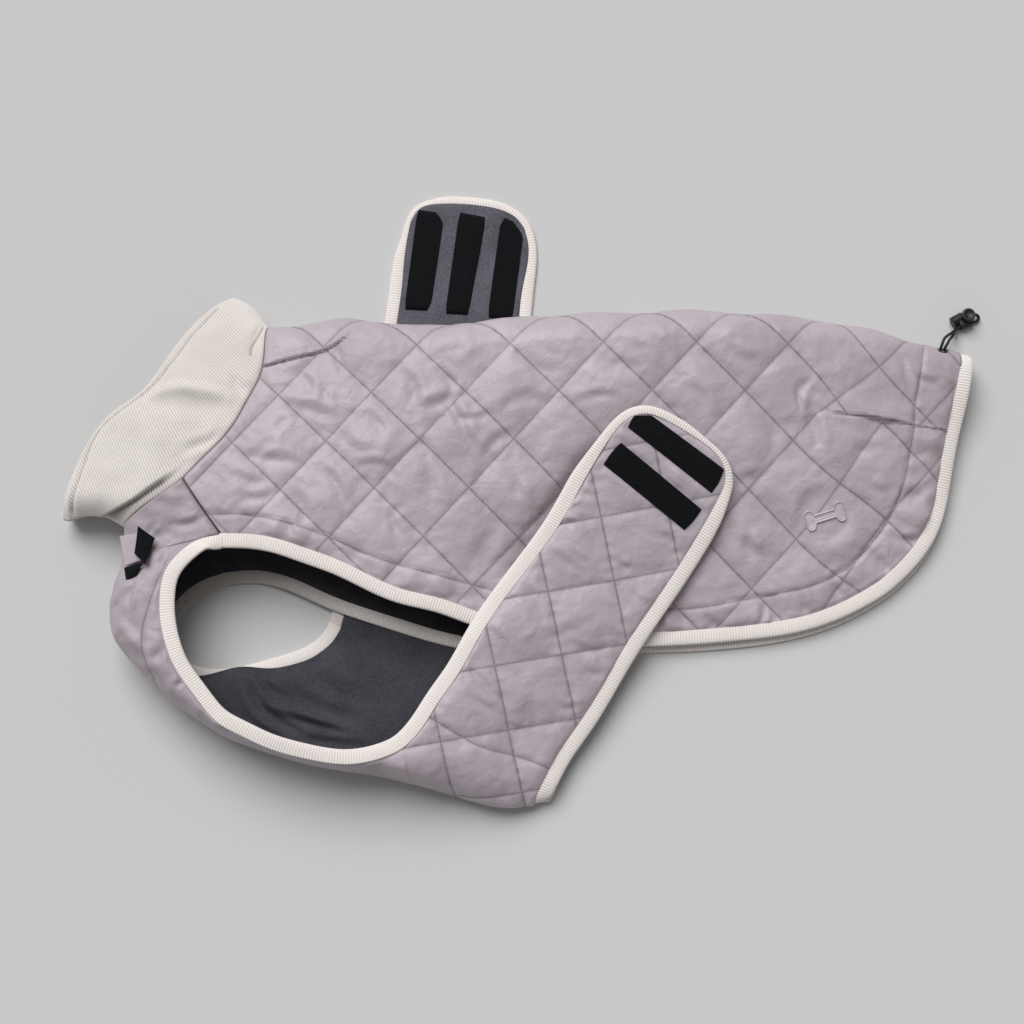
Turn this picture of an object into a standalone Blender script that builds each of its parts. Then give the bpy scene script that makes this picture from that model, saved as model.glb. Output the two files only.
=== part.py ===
"""Quilted dog coat lying on its right side on a flat surface.

The head end points to -X, the tail to +X, the spine fold lies along +Y and the
belly fold along -Y.  Two large panels make the body: the back panel, folded at
the spine, and the belly panel, folded along chest and belly, whose two wings
close over the flanks.  The near wing lies on the near flank, the far wing lies
flat under the coat and shows beyond the spine.

All sizes below are millimetres; MM turns them into the scene's metres.
"""

import math
from collections import namedtuple

import bpy
import numpy as np

MM = 0.001

# ------------------------------------------------------------------ cloth
SHELL = 2.4            # quilted satin with its wadding
LINING = 1.2           # fleece
SEAM_GAP = 0.3         # between neighbouring pieces
STACK = SHELL + SEAM_GAP + LINING
BINDING_WIDTH = 9.5
BINDING_THICK = 3.4
BINDING_GAP = 0.8
COLLAR_THICK = 3.0     # corduroy, doubled
COLLAR_GAP = 0.9
COLLAR_FOLD_GAP = 1.6  # more of it at the two folds, where the collar turns away
COLLAR_FOLD = 0.12     # share of the collar near each fold
COLLAR_PUFF = 4.0      # how far the collar's near layer swells between its edges
COLLAR_PINCH = 7.0     # how far the throat end of the collar draws in
COLLAR_NAPE = 3.0      # and how far the nape end stands out
COLLAR_FAR_INSET = 2.0  # the far layer ends this far short of the near one
WING_LIFT = 6.4        # near wing's middle above near flank's middle
FAR_STEP = 4.6         # far flank's rise where it crosses the far wing
STEP_RUN = 30.0        # length of that rise
STEP_CLEAR = 26.0      # it ends this far before the wing
# Where the belly panel's binding is narrower, round both wing tips: fully so within the
# first distance of a place, not at all past the second, and by how much.
Narrow = namedtuple("Narrow", "x y full none by")
NARROW_BINDING = [
    Narrow(108, 54, 45, 80, 4.2), Narrow(148, 30, 14, 40, 2.2),
    Narrow(-27, 238, 48, 85, 2.8), Narrow(-78, 228, 14, 36, 2.0),
]
BINDING_SINK = 0.9     # bindings' middle, inward of the shell's middle
SHOULDER_GAP = (-0.8, -0.5)  # from the back panel's shoulder seam to the belly panel's

# ------------------------------------------------------------------ where it lies
CENTRE_X, CENTRE_Y = 6.73, 17.69

# ------------------------------------------------------------------ back panel
# The spine fold: its outline seen from above, and the height of the near layer there.
Ridge = namedtuple("Ridge", "x outline_y height")
RIDGE = [
    Ridge(-175, 132, 50), Ridge(-143, 133, 53), Ridge(-122, 137, 55), Ridge(-84, 133, 57),
    Ridge(-17, 135, 59), Ridge(32, 139, 60), Ridge(76, 141, 60), Ridge(131, 143, 58),
    Ridge(186, 141, 51), Ridge(238, 136, 40), Ridge(272, 129, 33), Ridge(305, 121, 27),
    Ridge(324, 118, 24),
]
SHOULDER_SHARE = 0.1   # where the shoulder seam ends, as a share of the lower edge
RIDGE_ROLL = 0.4       # the fold's reach beyond the near layer, as a share of its height

# The near flank's lower edge: shoulder, top of the leg hole, under the wing, hem.
Edge = namedtuple("Edge", "x y height")
NEAR_SHOULDER = [Edge(-229, 17, 54), Edge(-217, -1, 53), Edge(-201, -23, 51)]
NEAR_HEM = [
    Edge(-201, -23, 51), Edge(-187, -23, 51), Edge(-165, -26, 51), Edge(-144, -33, 50),
    Edge(-119, -42, 49), Edge(-77, -61, 46), Edge(-50, -67, 43), Edge(-24, -76, 38),
    Edge(34, -84, 23), Edge(99, -86, 12.5), Edge(156, -82, 10), Edge(208, -74, 10),
    Edge(241, -61, 10), Edge(262, -49, 10),
]
NEAR_TAIL = [
    Edge(323, 109, 24), Edge(319, 86, 20), Edge(313, 60, 16), Edge(307, 31, 14),
    Edge(299, -2, 12), Edge(286, -25, 11), Edge(262, -49, 10),
]
NEAR_NECK = [
    Edge(-175, 112, 50), Edge(-177, 93, 52), Edge(-185, 75, 54), Edge(-198, 51, 55),
    Edge(-212, 35, 55), Edge(-229, 17, 54),
]
FLANK_SWELL = 5.0      # the near flank stands this much above a plain slope

# The far flank's edges, flat on the surface.
Flat = namedtuple("Flat", "x y")
FAR_SHOULDER = [Flat(-236, 10), Flat(-222, -16), Flat(-206, -41)]
FAR_HEM = [
    Flat(-206, -41), Flat(-188, -39), Flat(-170, -41), Flat(-148, -49), Flat(-126, -59),
    Flat(-104, -67), Flat(-79, -75), Flat(-30, -88), Flat(34, -89), Flat(95, -89),
    Flat(156, -86), Flat(208, -77), Flat(241, -64), Flat(264, -50),
]
FAR_TAIL = [
    Flat(323, 109), Flat(319, 86), Flat(313, 60), Flat(307, 30), Flat(299, -3),
    Flat(287, -27), Flat(264, -50),
]
FAR_NECK = [Flat(-175, 112), Flat(-180, 84), Flat(-198, 48), Flat(-236, 10)]

# ------------------------------------------------------------------ belly panel
# Rows across the chest strip, from the neck to where the wings begin: the near edge
# with its height, the side where the panel turns under, and the far edge.
Chest = namedtuple("Chest", "near_x near_y near_z side_x side_y side_z far_x far_y")
CHEST = [
    Chest(-229, 17, 54, -271, -12, 34, -236, 10),
    Chest(-217, -1, 53, -271, -26, 33, -222, -16),
    Chest(-201, -23, 51, -272, -39, 33, -206, -41),
    Chest(-217, -27, 52, -275, -50, 32, -224, -48),
    Chest(-228, -35, 53, -277, -58, 32, -238, -60),
    Chest(-238, -48, 54, -279, -67, 32, -247, -72),
    Chest(-241, -64, 54, -279, -78, 32, -251, -86),
    Chest(-240, -84, 54, -276, -91, 32, -249, -98),
    Chest(-234, -106, 54, -266, -105, 31, -240, -109),
    Chest(-226, -121, 53, -253, -119, 30, -228, -116),
    Chest(-213, -138, 52, -237, -134, 29, -212, -119),
    Chest(-201, -152, 51, -218, -147, 27, -196, -118),
    Chest(-186, -160, 50, -198, -159.5, 26, -182, -115),
    Chest(-167, -169, 48, -175, -168, 25, -165, -110),
    Chest(-142, -176, 46, -147, -176.5, 24, -149, -105),
    Chest(-117, -180, 45, -120, -182, 23, -140, -101),
    Chest(-97, -178, 45, -98, -185, 21, -133, -96),
    Chest(-84, -174, 45.5, -82, -188, 19.5, -127, -90),
    Chest(-75, -170, 46, -70, -191, 18, -122, -82),
]
SHOULDER_ROW = 2       # the row at the tip between shoulder seam and leg hole
ROLL_UNDER = 17.0      # from the side to where the far half reaches the surface

# Rows across the belly fold between the wings: top of the fold, its side, its underside.
Belly = namedtuple("Belly", "top_x top_y top_z side_x side_y side_z under_x under_y")
BELLY = [
    Belly(-75, -170, 46, -70, -191, 18, -79, -172),
    Belly(-50, -167, 43, -46, -198, 14, -51, -177),
    Belly(-25, -168, 36, -18, -205, 11, -22, -187),
    Belly(0, -173, 27, 2, -207, 9, 3, -193),
    Belly(26, -184, 15, 14, -202, 7.5, 24, -190),
]

# The near wing's edges, from the belly to its rounded tip.
WING_LEFT = [
    Edge(-75, -170, 46), Edge(-63, -157, 46), Edge(-51, -138, 46), Edge(-37, -118, 46),
    Edge(-25, -96, 46), Edge(4, -53, 43), Edge(33, -13, 46), Edge(54, 24, 52),
    Edge(61, 37, 55), Edge(70, 49, 57),
]
WING_TIP = [
    Edge(70, 49, 57), Edge(77, 58, 58), Edge(84, 62, 59), Edge(92, 63, 59),
    Edge(107, 58, 57), Edge(127, 46, 53), Edge(138, 38, 50), Edge(147, 32, 47),
    Edge(150, 24, 45), Edge(149, 14, 43),
]
WING_RIGHT = [
    Edge(26, -184, 15), Edge(36, -168, 15), Edge(47, -153, 16), Edge(66, -121, 18),
    Edge(78, -96, 20), Edge(87, -80, 21), Edge(107, -48, 27), Edge(123, -31, 32),
    Edge(136, -6, 39), Edge(149, 14, 43),
]

# The far wing's edges, flat on the surface, from the leg hole to its rounded tip.
FAR_WING_LEFT = [
    Flat(-122, -82), Flat(-117, -62), Flat(-106, -10), Flat(-96, 50), Flat(-85, 141),
    Flat(-81, 172), Flat(-79, 198), Flat(-75, 223),
]
FAR_WING_TIP = [
    Flat(-75, 223), Flat(-70, 232), Flat(-53, 237), Flat(-27, 236), Flat(-5, 231),
    Flat(3, 226), Flat(9, 218),
]
FAR_WING_RIGHT = [
    Flat(24, -190), Flat(14, -150), Flat(9, -60), Flat(5, 60), Flat(5, 144),
    Flat(7, 168), Flat(11, 188), Flat(12, 205), Flat(9, 218),
]
# Outer lines of the far wing, with its binding, for the far flank's rise over it.
FAR_WING_SIDES = [(-82, -132, 24), (142, -95, 15)]

# ------------------------------------------------------------------ collar
# The free edge seen from above, from the nape to the throat, with the near layer's height.
COLLAR_EDGE = [
    Edge(-203, 159, 17), Edge(-209, 153, 28), Edge(-228, 134, 35), Edge(-248, 105, 38),
    Edge(-266, 81, 39), Edge(-281, 70, 39), Edge(-293, 57, 38), Edge(-303, 41, 36),
    Edge(-310, 25, 33), Edge(-316, 9, 29), Edge(-319, -5, 15),
]

# ------------------------------------------------------------------ tapes
# Each strip lies on a wing: the plan places of its four corners, round the strip.
TAPE_THICK = 1.2
TAPE_RISE = 0.4        # clear of what the strip lies on
Strip = namedtuple("Strip", "name start_low start_high end_high end_low")
LOOP_STRIPS = [
    Strip("loop_strip_1", (80, 51), (90, 62), (149, 24), (140, 8)),
    Strip("loop_strip_2", (63, 27), (75, 42), (133, -3), (121, -17)),
]
HOOK_STRIPS = [
    Strip("hook_strip_1", (-79, 155), (-70, 232), (-50, 229), (-60, 154)),
    Strip("hook_strip_2", (-49, 152), (-39, 230), (-19, 226), (-32, 151)),
    Strip("hook_strip_3", (-18, 149), (-8, 227), (9, 219), (0, 146)),
]

# ------------------------------------------------------------------ throat closure
# Small plates: corners in space, round the plate.
THROAT_THICK = 1.2
THROAT_TAB = [(-275.5, -21, 39), (-270, -42, 43), (-257, -40, 49), (-262, -21, 49)]
THROAT_HOOK = [(-258.5, -17, 52.5), (-260.5, -36, 51.5), (-252, -40, 54), (-249, -26, 54.5)]
THROAT_LOOP = [(-273, -44.5, 43.5), (-272, -56, 45), (-263, -53, 50), (-257, -43.5, 51)]

# ------------------------------------------------------------------ badge
BADGE_AT = (221.0, -4.0)
BADGE_LENGTH = 30.0
BADGE_BAR = 3.4        # half width of the bone's bar
BADGE_KNOB = 7.6       # half width of its ends
BADGE_THICK = 0.9
BADGE_TURN = math.radians(18)

# ------------------------------------------------------------------ cord and lock
CORD = 2.2
EYELET_SHARE = 0.9714  # along the spine fold
EYELET_TURN = 0.80     # round it
EYELET_LENGTH = 7.1    # between the middles of its wire, along the fold and across it
EYELET_WIDTH = 4.0
EYELET_WIRE = 0.5
# The cord's route: out of the eyelet, down to the surface, through the lock, round its
# own small loop, and back through the lock to the eyelet.
CORD_ROUTE = [
    (307.8, 117.3, 25.7), (308.2, 119.4, 28.0), (309.8, 123.2, 26.6), (312.6, 128.2, 21.0),
    (318.4, 133.8, 13.0), (324.0, 138.6, 7.4), (327.6, 141.9, 5.0), (331.0, 145.2, 4.6),
    (334.6, 148.6, 4.6), (337.4, 150.7, 4.4), (340.0, 151.1, 3.8), (341.8, 149.2, 3.0),
    (341.0, 147.1, 2.3), (338.6, 146.1, 2.0), (334.0, 144.3, 2.0), (329.4, 142.3, 2.0),
    (325.4, 140.5, 2.2), (321.8, 135.0, 6.4), (317.8, 129.4, 13.6), (314.8, 124.8, 21.2),
    (312.8, 121.8, 26.0), (311.3, 119.4, 27.5), (310.5, 117.0, 25.3),
]
CORD_POINTS = 44
LOCK_ENTRY = (327.4, 141.8)      # where both strands go into the lock
LOCK_ALONG = (0.93, 0.367)       # and their direction in it
LOCK_BLOCK = (0.0, 10.5, -2.4, 8.0)  # the block's reach along and across that direction
LOCK_HEIGHT = 7.8
LOCK_SLOT = [(-1.0, -1.6), (11.5, -1.6), (11.5, 6.6), (-1.0, 1.9)]
SLOT_LOW, SLOT_HIGH = 0.6, 6.5
BARREL_END = (321.8, 144.4)
BARREL_ROOT = (330.0, 149.0)
BARREL_RADIUS = 3.9
BARREL_RIB = 0.4
BARREL_RIBS = 5
BUTTON_AT = (332.9, 149.0)
BUTTON_RADIUS = 5.0
BUTTON_HEIGHT = 3.0

# ------------------------------------------------------------------ facets
BACK_LENGTH_CELLS = 18
BACK_SIDE_CELLS = 8
FOLD_CELLS = 5
CHEST_ROWS = 20
CHEST_CELLS = 4
WING_CELLS = 8
WING_LENGTH_CELLS = 13
FAR_WING_CELLS = 15
CHEST_FLAT_CELLS = 2
COLLAR_CELLS = 6
TAPE_CELLS = 5
BADGE_CELLS = 12
EYELET_POINTS = 16


# ------------------------------------------------------------------ curves and surfaces
def curve(points, knots=None, corners=()):
    """Smooth curve through points, as a function of 0..1: a natural cubic spline over
    the chord length (or the given knots), broken at the listed corners."""
    p = np.array(points, float)
    if knots is None:
        chord = np.linalg.norm(np.diff(p, axis=0), axis=1)
        k = np.concatenate([[0.0], np.cumsum(chord)]) / chord.sum()
    else:
        k = np.array(knots, float)
    bend = np.zeros_like(p)
    stops = [0, *corners, len(p) - 1]
    for a, b in zip(stops, stops[1:]):
        if b - a < 2:
            continue
        h = np.diff(k[a:b + 1])
        matrix = np.diag(2 * (h[:-1] + h[1:])) + np.diag(h[1:-1], 1) + np.diag(h[1:-1], -1)
        slope = np.diff(p[a:b + 1], axis=0) / h[:, None]
        bend[a + 1:b] = np.linalg.solve(matrix, 6 * np.diff(slope, axis=0))

    def at(s):
        s = np.clip(np.asarray(s, float), 0.0, 1.0)
        i = np.clip(np.searchsorted(k, s, side="right") - 1, 0, len(k) - 2)
        h = (k[i + 1] - k[i])[..., None]
        a = ((k[i + 1] - s) / (k[i + 1] - k[i]))[..., None]
        b = 1.0 - a
        return (a * p[i] + b * p[i + 1]
                + ((a ** 3 - a) * bend[i] + (b ** 3 - b) * bend[i + 1]) * h * h / 6.0)

    return at


def joined(first, second):
    """Two lists of points that share an end, as one list, and the index of the corner."""
    return [tuple(p) for p in first] + [tuple(p) for p in second[1:]], len(first) - 1


def coons(low, high, left, right, u, v):
    """Surface between four edge curves that meet at the corners: the sum of the two
    ruled surfaces less the bilinear one."""
    uu, vv = u[:, None, None], v[None, :, None]
    ends = [low(0.0), low(1.0), high(0.0), high(1.0)]
    flat = ((1 - uu) * (1 - vv) * ends[0] + uu * (1 - vv) * ends[1]
            + (1 - uu) * vv * ends[2] + uu * vv * ends[3])
    return ((1 - vv) * low(u)[:, None] + vv * high(u)[:, None]
            + (1 - uu) * left(v)[None] + uu * right(v)[None] - flat)


def by_x(table, column):
    """A table's column as a smooth function of its x."""
    xs = np.array([row.x for row in table], float)
    ys = np.array([[getattr(row, column)] for row in table], float)
    span = xs[-1] - xs[0]
    fit = curve(ys, knots=(xs - xs[0]) / span)
    return lambda x: fit((np.asarray(x, float) - xs[0]) / span)[..., 0]


ridge_outline = by_x(RIDGE, "outline_y")
ridge_height = by_x(RIDGE, "height")
LOWER_EDGE = NEAR_SHOULDER[:2] + NEAR_HEM + NEAR_TAIL[5:0:-1]
lower_y = by_x(LOWER_EDGE, "y")
lower_z = by_x(LOWER_EDGE, "height")


def smooth_step(x):
    x = np.clip(x, 0.0, 1.0)
    return x * x * (3.0 - 2.0 * x)


def near_height(x, y):
    """Height of the near flank's middle: from the spine fold it slopes down to the
    lower edge, half straight and half rounded, and swells a little between them.
    Past the lower edge the value goes on falling."""
    top, low = ridge_height(x), lower_z(x)
    fold_y = ridge_outline(x) - RIDGE_ROLL * top
    run = np.maximum(fold_y - lower_y(x), 30.0)
    f = np.clip((fold_y - y) / run, 0.0, 1.0)
    share = 0.6 * (1.0 - f) + 0.2 * (1.0 + np.cos(math.pi * f))
    past = np.maximum((fold_y - y) - run, 0.0)
    swell = FLANK_SWELL * np.minimum(run / 200.0, 1.0) * np.sin(math.pi * f)
    return low + (top - low) * share + swell - 0.35 * past


def far_height(x, y):
    """Height of the far flank's middle: on the surface, raised where it crosses the
    far wing, with a soft step on each side of it."""
    (y0, left0, right0), (y1, left1, right1) = FAR_WING_SIDES
    f = (y - y0) / (y1 - y0)
    left = left0 + (left1 - left0) * f
    right = right0 + (right1 - right0) * f
    on_wing = smooth_step((x - left + STEP_CLEAR + STEP_RUN) / STEP_RUN)
    on_wing = on_wing * smooth_step((right + STEP_CLEAR + STEP_RUN - x) / STEP_RUN)
    return SHELL / 2 + FAR_STEP * on_wing


def with_height(xy, height):
    """Plan points with their height from a function of x and y."""
    return np.concatenate([xy, height(xy[..., 0], xy[..., 1])[..., None]], axis=-1)


def spread(count, power=1.0):
    """Shares 0..1, drawn towards 0 where the power is above 1."""
    return np.linspace(0.0, 1.0, count + 1) ** power


# ------------------------------------------------------------------ back panel surface
def lower_edge(shoulder, hem):
    """The panel's lower edge as one curve, its corner at SHOULDER_SHARE on both sides."""
    points, corner = joined(shoulder, hem)
    plan = np.array([p[:2] for p in points], float)
    chord = np.concatenate([[0.0], np.cumsum(np.linalg.norm(np.diff(plan, axis=0), axis=1))])
    front = chord[:corner] / chord[corner] * SHOULDER_SHARE
    rest = (chord[corner:] - chord[corner]) / (chord[-1] - chord[corner])
    knots = np.concatenate([front, SHOULDER_SHARE + (1.0 - SHOULDER_SHARE) * rest])
    return curve(plan, knots, (corner,))


near_bottom = lower_edge(NEAR_SHOULDER, NEAR_HEM)
near_tail = curve([p[:2] for p in NEAR_TAIL])
near_neck = curve([p[:2] for p in NEAR_NECK])
far_bottom = lower_edge(FAR_SHOULDER, FAR_HEM)
far_tail = curve(FAR_TAIL)
far_neck = curve(FAR_NECK)


def fold_line(s):
    """Plan line where the near layer starts to turn over the spine."""
    x = RIDGE[0].x + (NEAR_TAIL[0].x - RIDGE[0].x) * np.asarray(s, float)
    return np.stack([x, ridge_outline(x) - RIDGE_ROLL * ridge_height(x)], axis=-1)


def back_near(u, v):
    """Near flank: u from neck to tail, v from the spine fold to the lower edge."""
    plan = coons(fold_line, near_bottom, near_neck, near_tail, u, v)
    return with_height(plan, near_height)


def back_far(u, v):
    """Far flank: u from neck to tail, v from the spine fold to the lower edge."""
    plan = coons(fold_line, far_bottom, far_neck, far_tail, u, v)
    return with_height(plan, far_height)


def back_fold(u, turn):
    """Spine fold: half an ellipse from the far layer (turn 0) to the near one (1)."""
    plan = fold_line(u)
    top = near_height(plan[:, 0], plan[:, 1])[:, None]
    low = far_height(plan[:, 0], plan[:, 1])[:, None]
    reach = RIDGE_ROLL * ridge_height(plan[:, 0])[:, None]
    angle = math.pi * turn[None]
    x = np.repeat(plan[:, :1], len(turn), axis=1)
    y = plan[:, 1:] + reach * np.sin(angle)
    z = (top + low) / 2 - (top - low) / 2 * np.cos(angle)
    return np.stack([x, y, z], axis=-1)


def back_grid(length_shares, side_shares, turn):
    """The whole back panel, from the far lower edge over the spine to the near one."""
    far = back_far(length_shares, side_shares)[:, ::-1]
    near = back_near(length_shares, side_shares)
    fold = back_fold(length_shares, turn)
    return np.concatenate([far[:, :-1], fold, near[:, 1:]], axis=1)


# ------------------------------------------------------------------ belly panel surface
row_knots = np.linspace(0.0, 1.0, len(CHEST))
shoulder_off = [SHOULDER_GAP if k <= SHOULDER_ROW else (0.0, 0.0) for k in range(len(CHEST))]
chest_near = curve([(r.near_x + dx, r.near_y + dy, r.near_z)
                    for r, (dx, dy) in zip(CHEST, shoulder_off)], row_knots, (SHOULDER_ROW,))
chest_side = curve([(r.side_x, r.side_y, r.side_z) for r in CHEST], row_knots)
chest_far = curve([(r.far_x + dx, r.far_y + dy)
                   for r, (dx, dy) in zip(CHEST, shoulder_off)], row_knots, (SHOULDER_ROW,))
belly_top = curve([(r.top_x, r.top_y, r.top_z) for r in BELLY])
belly_side = curve([(r.side_x, r.side_y, r.side_z) for r in BELLY])

wing_left = curve(WING_LEFT)
wing_tip = curve(WING_TIP)
wing_right = curve(WING_RIGHT)
far_wing_tip = curve(FAR_WING_TIP)
far_wing_right = curve(FAR_WING_RIGHT)


def on_surface(plan):
    """Plan points lying on the surface, at the middle of the shell's thickness."""
    return np.concatenate([plan, np.full(plan.shape[:-1] + (1,), SHELL / 2)], axis=-1)


def turn_under(top, side, under, share):
    """Two quarter ellipses: from the near layer out and down to the side, then back
    under to the surface; share runs 0..1 over both."""
    first = np.clip(share * 2.0, 0.0, 1.0)[None, :, None] * math.pi / 2
    second = np.clip(share * 2.0 - 1.0, 0.0, 1.0)[None, :, None] * math.pi / 2
    top, side, under = top[:, None], side[:, None], under[:, None]
    out = side - top
    xy = top[..., :2] + out[..., :2] * np.sin(first)
    xy = xy + (under - side)[..., :2] * (1.0 - np.cos(second))
    z = side[..., 2:] - out[..., 2:] * np.cos(first)
    z = np.where(second > 0, side[..., 2:] - (side - under)[..., 2:] * np.sin(second), z)
    return np.concatenate([xy, z], axis=-1)


def chest_under(rows):
    """Where the far half reaches the surface, a set distance in from the side."""
    side = chest_side(rows)[..., :2]
    away = chest_far(rows) - side
    reach = np.linalg.norm(away, axis=-1, keepdims=True)
    return on_surface(side + away * np.minimum(ROLL_UNDER / reach, 0.65))


belly_start = tuple(chest_under(1.0)[:2])
belly_under = curve([belly_start] + [(r.under_x, r.under_y) for r in BELLY[1:]])
far_wing_left = curve([belly_start] + FAR_WING_LEFT, corners=(1,))


def chest_grid(rows, turn, flat):
    """Chest strip: for each row, over the side and under it, then flat to the far edge."""
    near, side, far = chest_near(rows), chest_side(rows), on_surface(chest_far(rows))
    under = chest_under(rows)
    over = turn_under(near, side, under, turn)
    rest = under[:, None] + (far - under)[:, None] * flat[None, 1:, None]
    return np.concatenate([over, rest], axis=1)


def clear_of_flank(points):
    """Raises wing points softly to lie on the near flank where they would sink in it."""
    floor = near_height(points[..., 0], points[..., 1]) + WING_LIFT
    z = points[..., 2]
    raised = 0.5 * (z + floor + np.sqrt((z - floor) ** 2 + 9.0))
    return np.concatenate([points[..., :2], raised[..., None]], axis=-1)


def near_wing(u, v):
    """Near wing: u from its left edge to its right one, v from the belly to the tip."""
    plain = coons(belly_top, wing_tip, wing_left, wing_right, u, v)
    lying = clear_of_flank(plain)
    return plain + (lying - plain) * smooth_step(v * 4.0)[None, :, None]


def far_wing(u, v):
    """Far wing: u from its left edge to its right one, v from the belly to the tip."""
    return on_surface(coons(belly_under, far_wing_tip, far_wing_left, far_wing_right, u, v))


def far_wing_shares(flat, cells):
    """Shares along the far wing: the chest strip's own up to the leg hole's corner, then
    even ones to the tip."""
    stops = np.array([belly_start] + FAR_WING_LEFT, float)
    runs = np.linalg.norm(np.diff(stops, axis=0), axis=1)
    corner = runs[0] / runs.sum()
    return np.concatenate([flat * corner, corner + (1 - corner) * spread(cells)[1:]])


def wing_grid(across, along, turn, far_along):
    """Both wings and the belly between them, from the near tip to the far one."""
    near = near_wing(across, along)[:, ::-1]
    under = on_surface(belly_under(across))
    over = turn_under(belly_top(across), belly_side(across), under, turn)
    far = far_wing(across, far_along)
    return np.concatenate([near[:, :-1], over, far[:, 1:]], axis=1)


# ------------------------------------------------------------------ meshes
def grid_faces(rows, columns, closed_rows=False):
    """Quads of a grid of points; the rows may close on themselves."""
    i = np.arange(rows if closed_rows else rows - 1)
    j = np.arange(columns - 1)
    a = (i[:, None] * columns + j).ravel()
    b = (((i[:, None] + 1) % rows) * columns + j).ravel()
    return np.stack([a, a + 1, b + 1, b], axis=1)


def weld(parts, distance=0.05):
    """Joins lists of points and faces, merging the points that coincide."""
    points = np.concatenate([p for p, _ in parts])
    offsets = np.cumsum([0] + [len(p) for p, _ in parts[:-1]])
    faces = np.concatenate([f + o for (_, f), o in zip(parts, offsets)])
    keys = np.round(points / distance).astype(int)
    _, first, inverse = np.unique(keys, axis=0, return_index=True, return_inverse=True)
    return points[first], inverse.ravel()[faces]


def point_normals(points, faces):
    """Mean of the quads' unit normals at each point, from their diagonals."""
    across = points[faces[:, 2]] - points[faces[:, 0]]
    other = points[faces[:, 3]] - points[faces[:, 1]]
    face_normals = np.cross(across, other)
    face_normals /= np.linalg.norm(face_normals, axis=1, keepdims=True)
    normals = np.zeros_like(points)
    for corner in range(4):
        np.add.at(normals, faces[:, corner], face_normals)
    return normals / np.linalg.norm(normals, axis=1, keepdims=True)


def wall(points, faces, outer, inner):
    """Closed wall between two offsets of a sheet along its normals."""
    normals = point_normals(points, faces)
    count = len(points)
    both = np.concatenate([points + normals * outer, points + normals * inner])
    edges = np.concatenate([faces[:, [k, (k + 1) % 4]] for k in range(4)])
    reversed_edges = {(b, a) for a, b in edges}
    rim = np.array([e for e in edges if tuple(e) not in reversed_edges])
    rim_faces = np.stack([rim[:, 1], rim[:, 0], rim[:, 0] + count, rim[:, 1] + count], axis=1)
    return both, np.concatenate([faces, faces[:, ::-1] + count, rim_faces])


def material(name, colour, roughness, metallic=0.0):
    """Plain Principled material."""
    made = bpy.data.materials.new(name)
    made.use_nodes = True
    shader = made.node_tree.nodes["Principled BSDF"]
    shader.inputs["Base Color"].default_value = (*colour, 1.0)
    shader.inputs["Roughness"].default_value = roughness
    shader.inputs["Metallic"].default_value = metallic
    return made


def add_object(name, points, faces, finish, parent):
    """Mesh object from points in millimetres."""
    mesh = bpy.data.meshes.new(name)
    mesh.from_pydata((np.asarray(points) * MM).tolist(), [], [list(map(int, f)) for f in faces])
    mesh.materials.append(finish)
    mesh.validate()
    mesh.update()
    made = bpy.data.objects.new(name, mesh)
    made.parent = parent
    bpy.context.scene.collection.objects.link(made)
    return made


def split_quads(points, faces):
    """Quads cut along their shorter diagonal."""
    first = np.linalg.norm(points[faces[:, 0]] - points[faces[:, 2]], axis=1)
    second = np.linalg.norm(points[faces[:, 1]] - points[faces[:, 3]], axis=1)
    keep = first <= second
    short = np.concatenate([faces[keep][:, [0, 1, 2]], faces[keep][:, [0, 2, 3]]])
    long = np.concatenate([faces[~keep][:, [1, 2, 3]], faces[~keep][:, [1, 3, 0]]])
    return np.concatenate([short, long])


def add_wall(name, sheet, outer, inner, finish, parent):
    """A sheet's wall as an object."""
    points, faces = wall(*sheet, outer, inner)
    return add_object(name, points, split_quads(points, faces), finish, parent)


def ribbon(edge, away, thick, width):
    """Flat bar along an edge: away points from the panel, square to the edge."""
    along = np.gradient(edge, axis=0)
    normal = np.cross(along, away)
    normal /= np.linalg.norm(normal, axis=1, keepdims=True)
    half = normal * thick / 2
    inner = edge + away * BINDING_GAP
    outer = edge + away * np.asarray(width, float)[:, None]
    ring = np.stack([inner - half, outer - half, outer + half, inner + half], axis=1)
    rows, columns = ring.shape[:2]
    i = np.arange(rows - 1)[:, None] * columns
    j = np.arange(columns)
    after = (j + 1) % columns
    sides = np.stack([i + j, i + after, i + columns + after, i + columns + j], axis=-1)
    caps = np.array([[3, 2, 1, 0], (rows - 1) * columns + j])
    return ring.reshape(-1, 3), np.concatenate([sides.reshape(-1, 4), caps])


def outward(edge, normals, side):
    """Directions that leave a panel at its edge, in the panel's own surface: side is 1
    for an edge that runs with the panel on its left, seen from outside, else -1."""
    away = np.cross(np.gradient(edge, axis=0), normals) * side
    return away / np.linalg.norm(away, axis=1, keepdims=True)


def plate(corners, thick):
    """Flat piece from its four corners, drawn out upwards and downwards."""
    middle = np.array(corners, float)
    up = np.cross(middle[2] - middle[0], middle[3] - middle[1])
    up *= thick / 2 / np.linalg.norm(up)
    points = np.concatenate([middle + up, middle - up])
    faces = [[0, 1, 2, 3], [7, 6, 5, 4]]
    faces += [[k + 4, (k + 1) % 4 + 4, (k + 1) % 4, k] for k in range(4)]
    return points, np.array(faces)


def prism(outline, low, high):
    """Upright prism over a plan outline that runs counter-clockwise."""
    plan = np.array(outline, float)
    count = len(plan)
    points = np.concatenate([np.c_[plan, np.full(count, low)], np.c_[plan, np.full(count, high)]])
    sides = [[k, (k + 1) % count, (k + 1) % count + count, k + count] for k in range(count)]
    return points, sides + [list(range(count))[::-1], list(range(count, 2 * count))]


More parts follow.
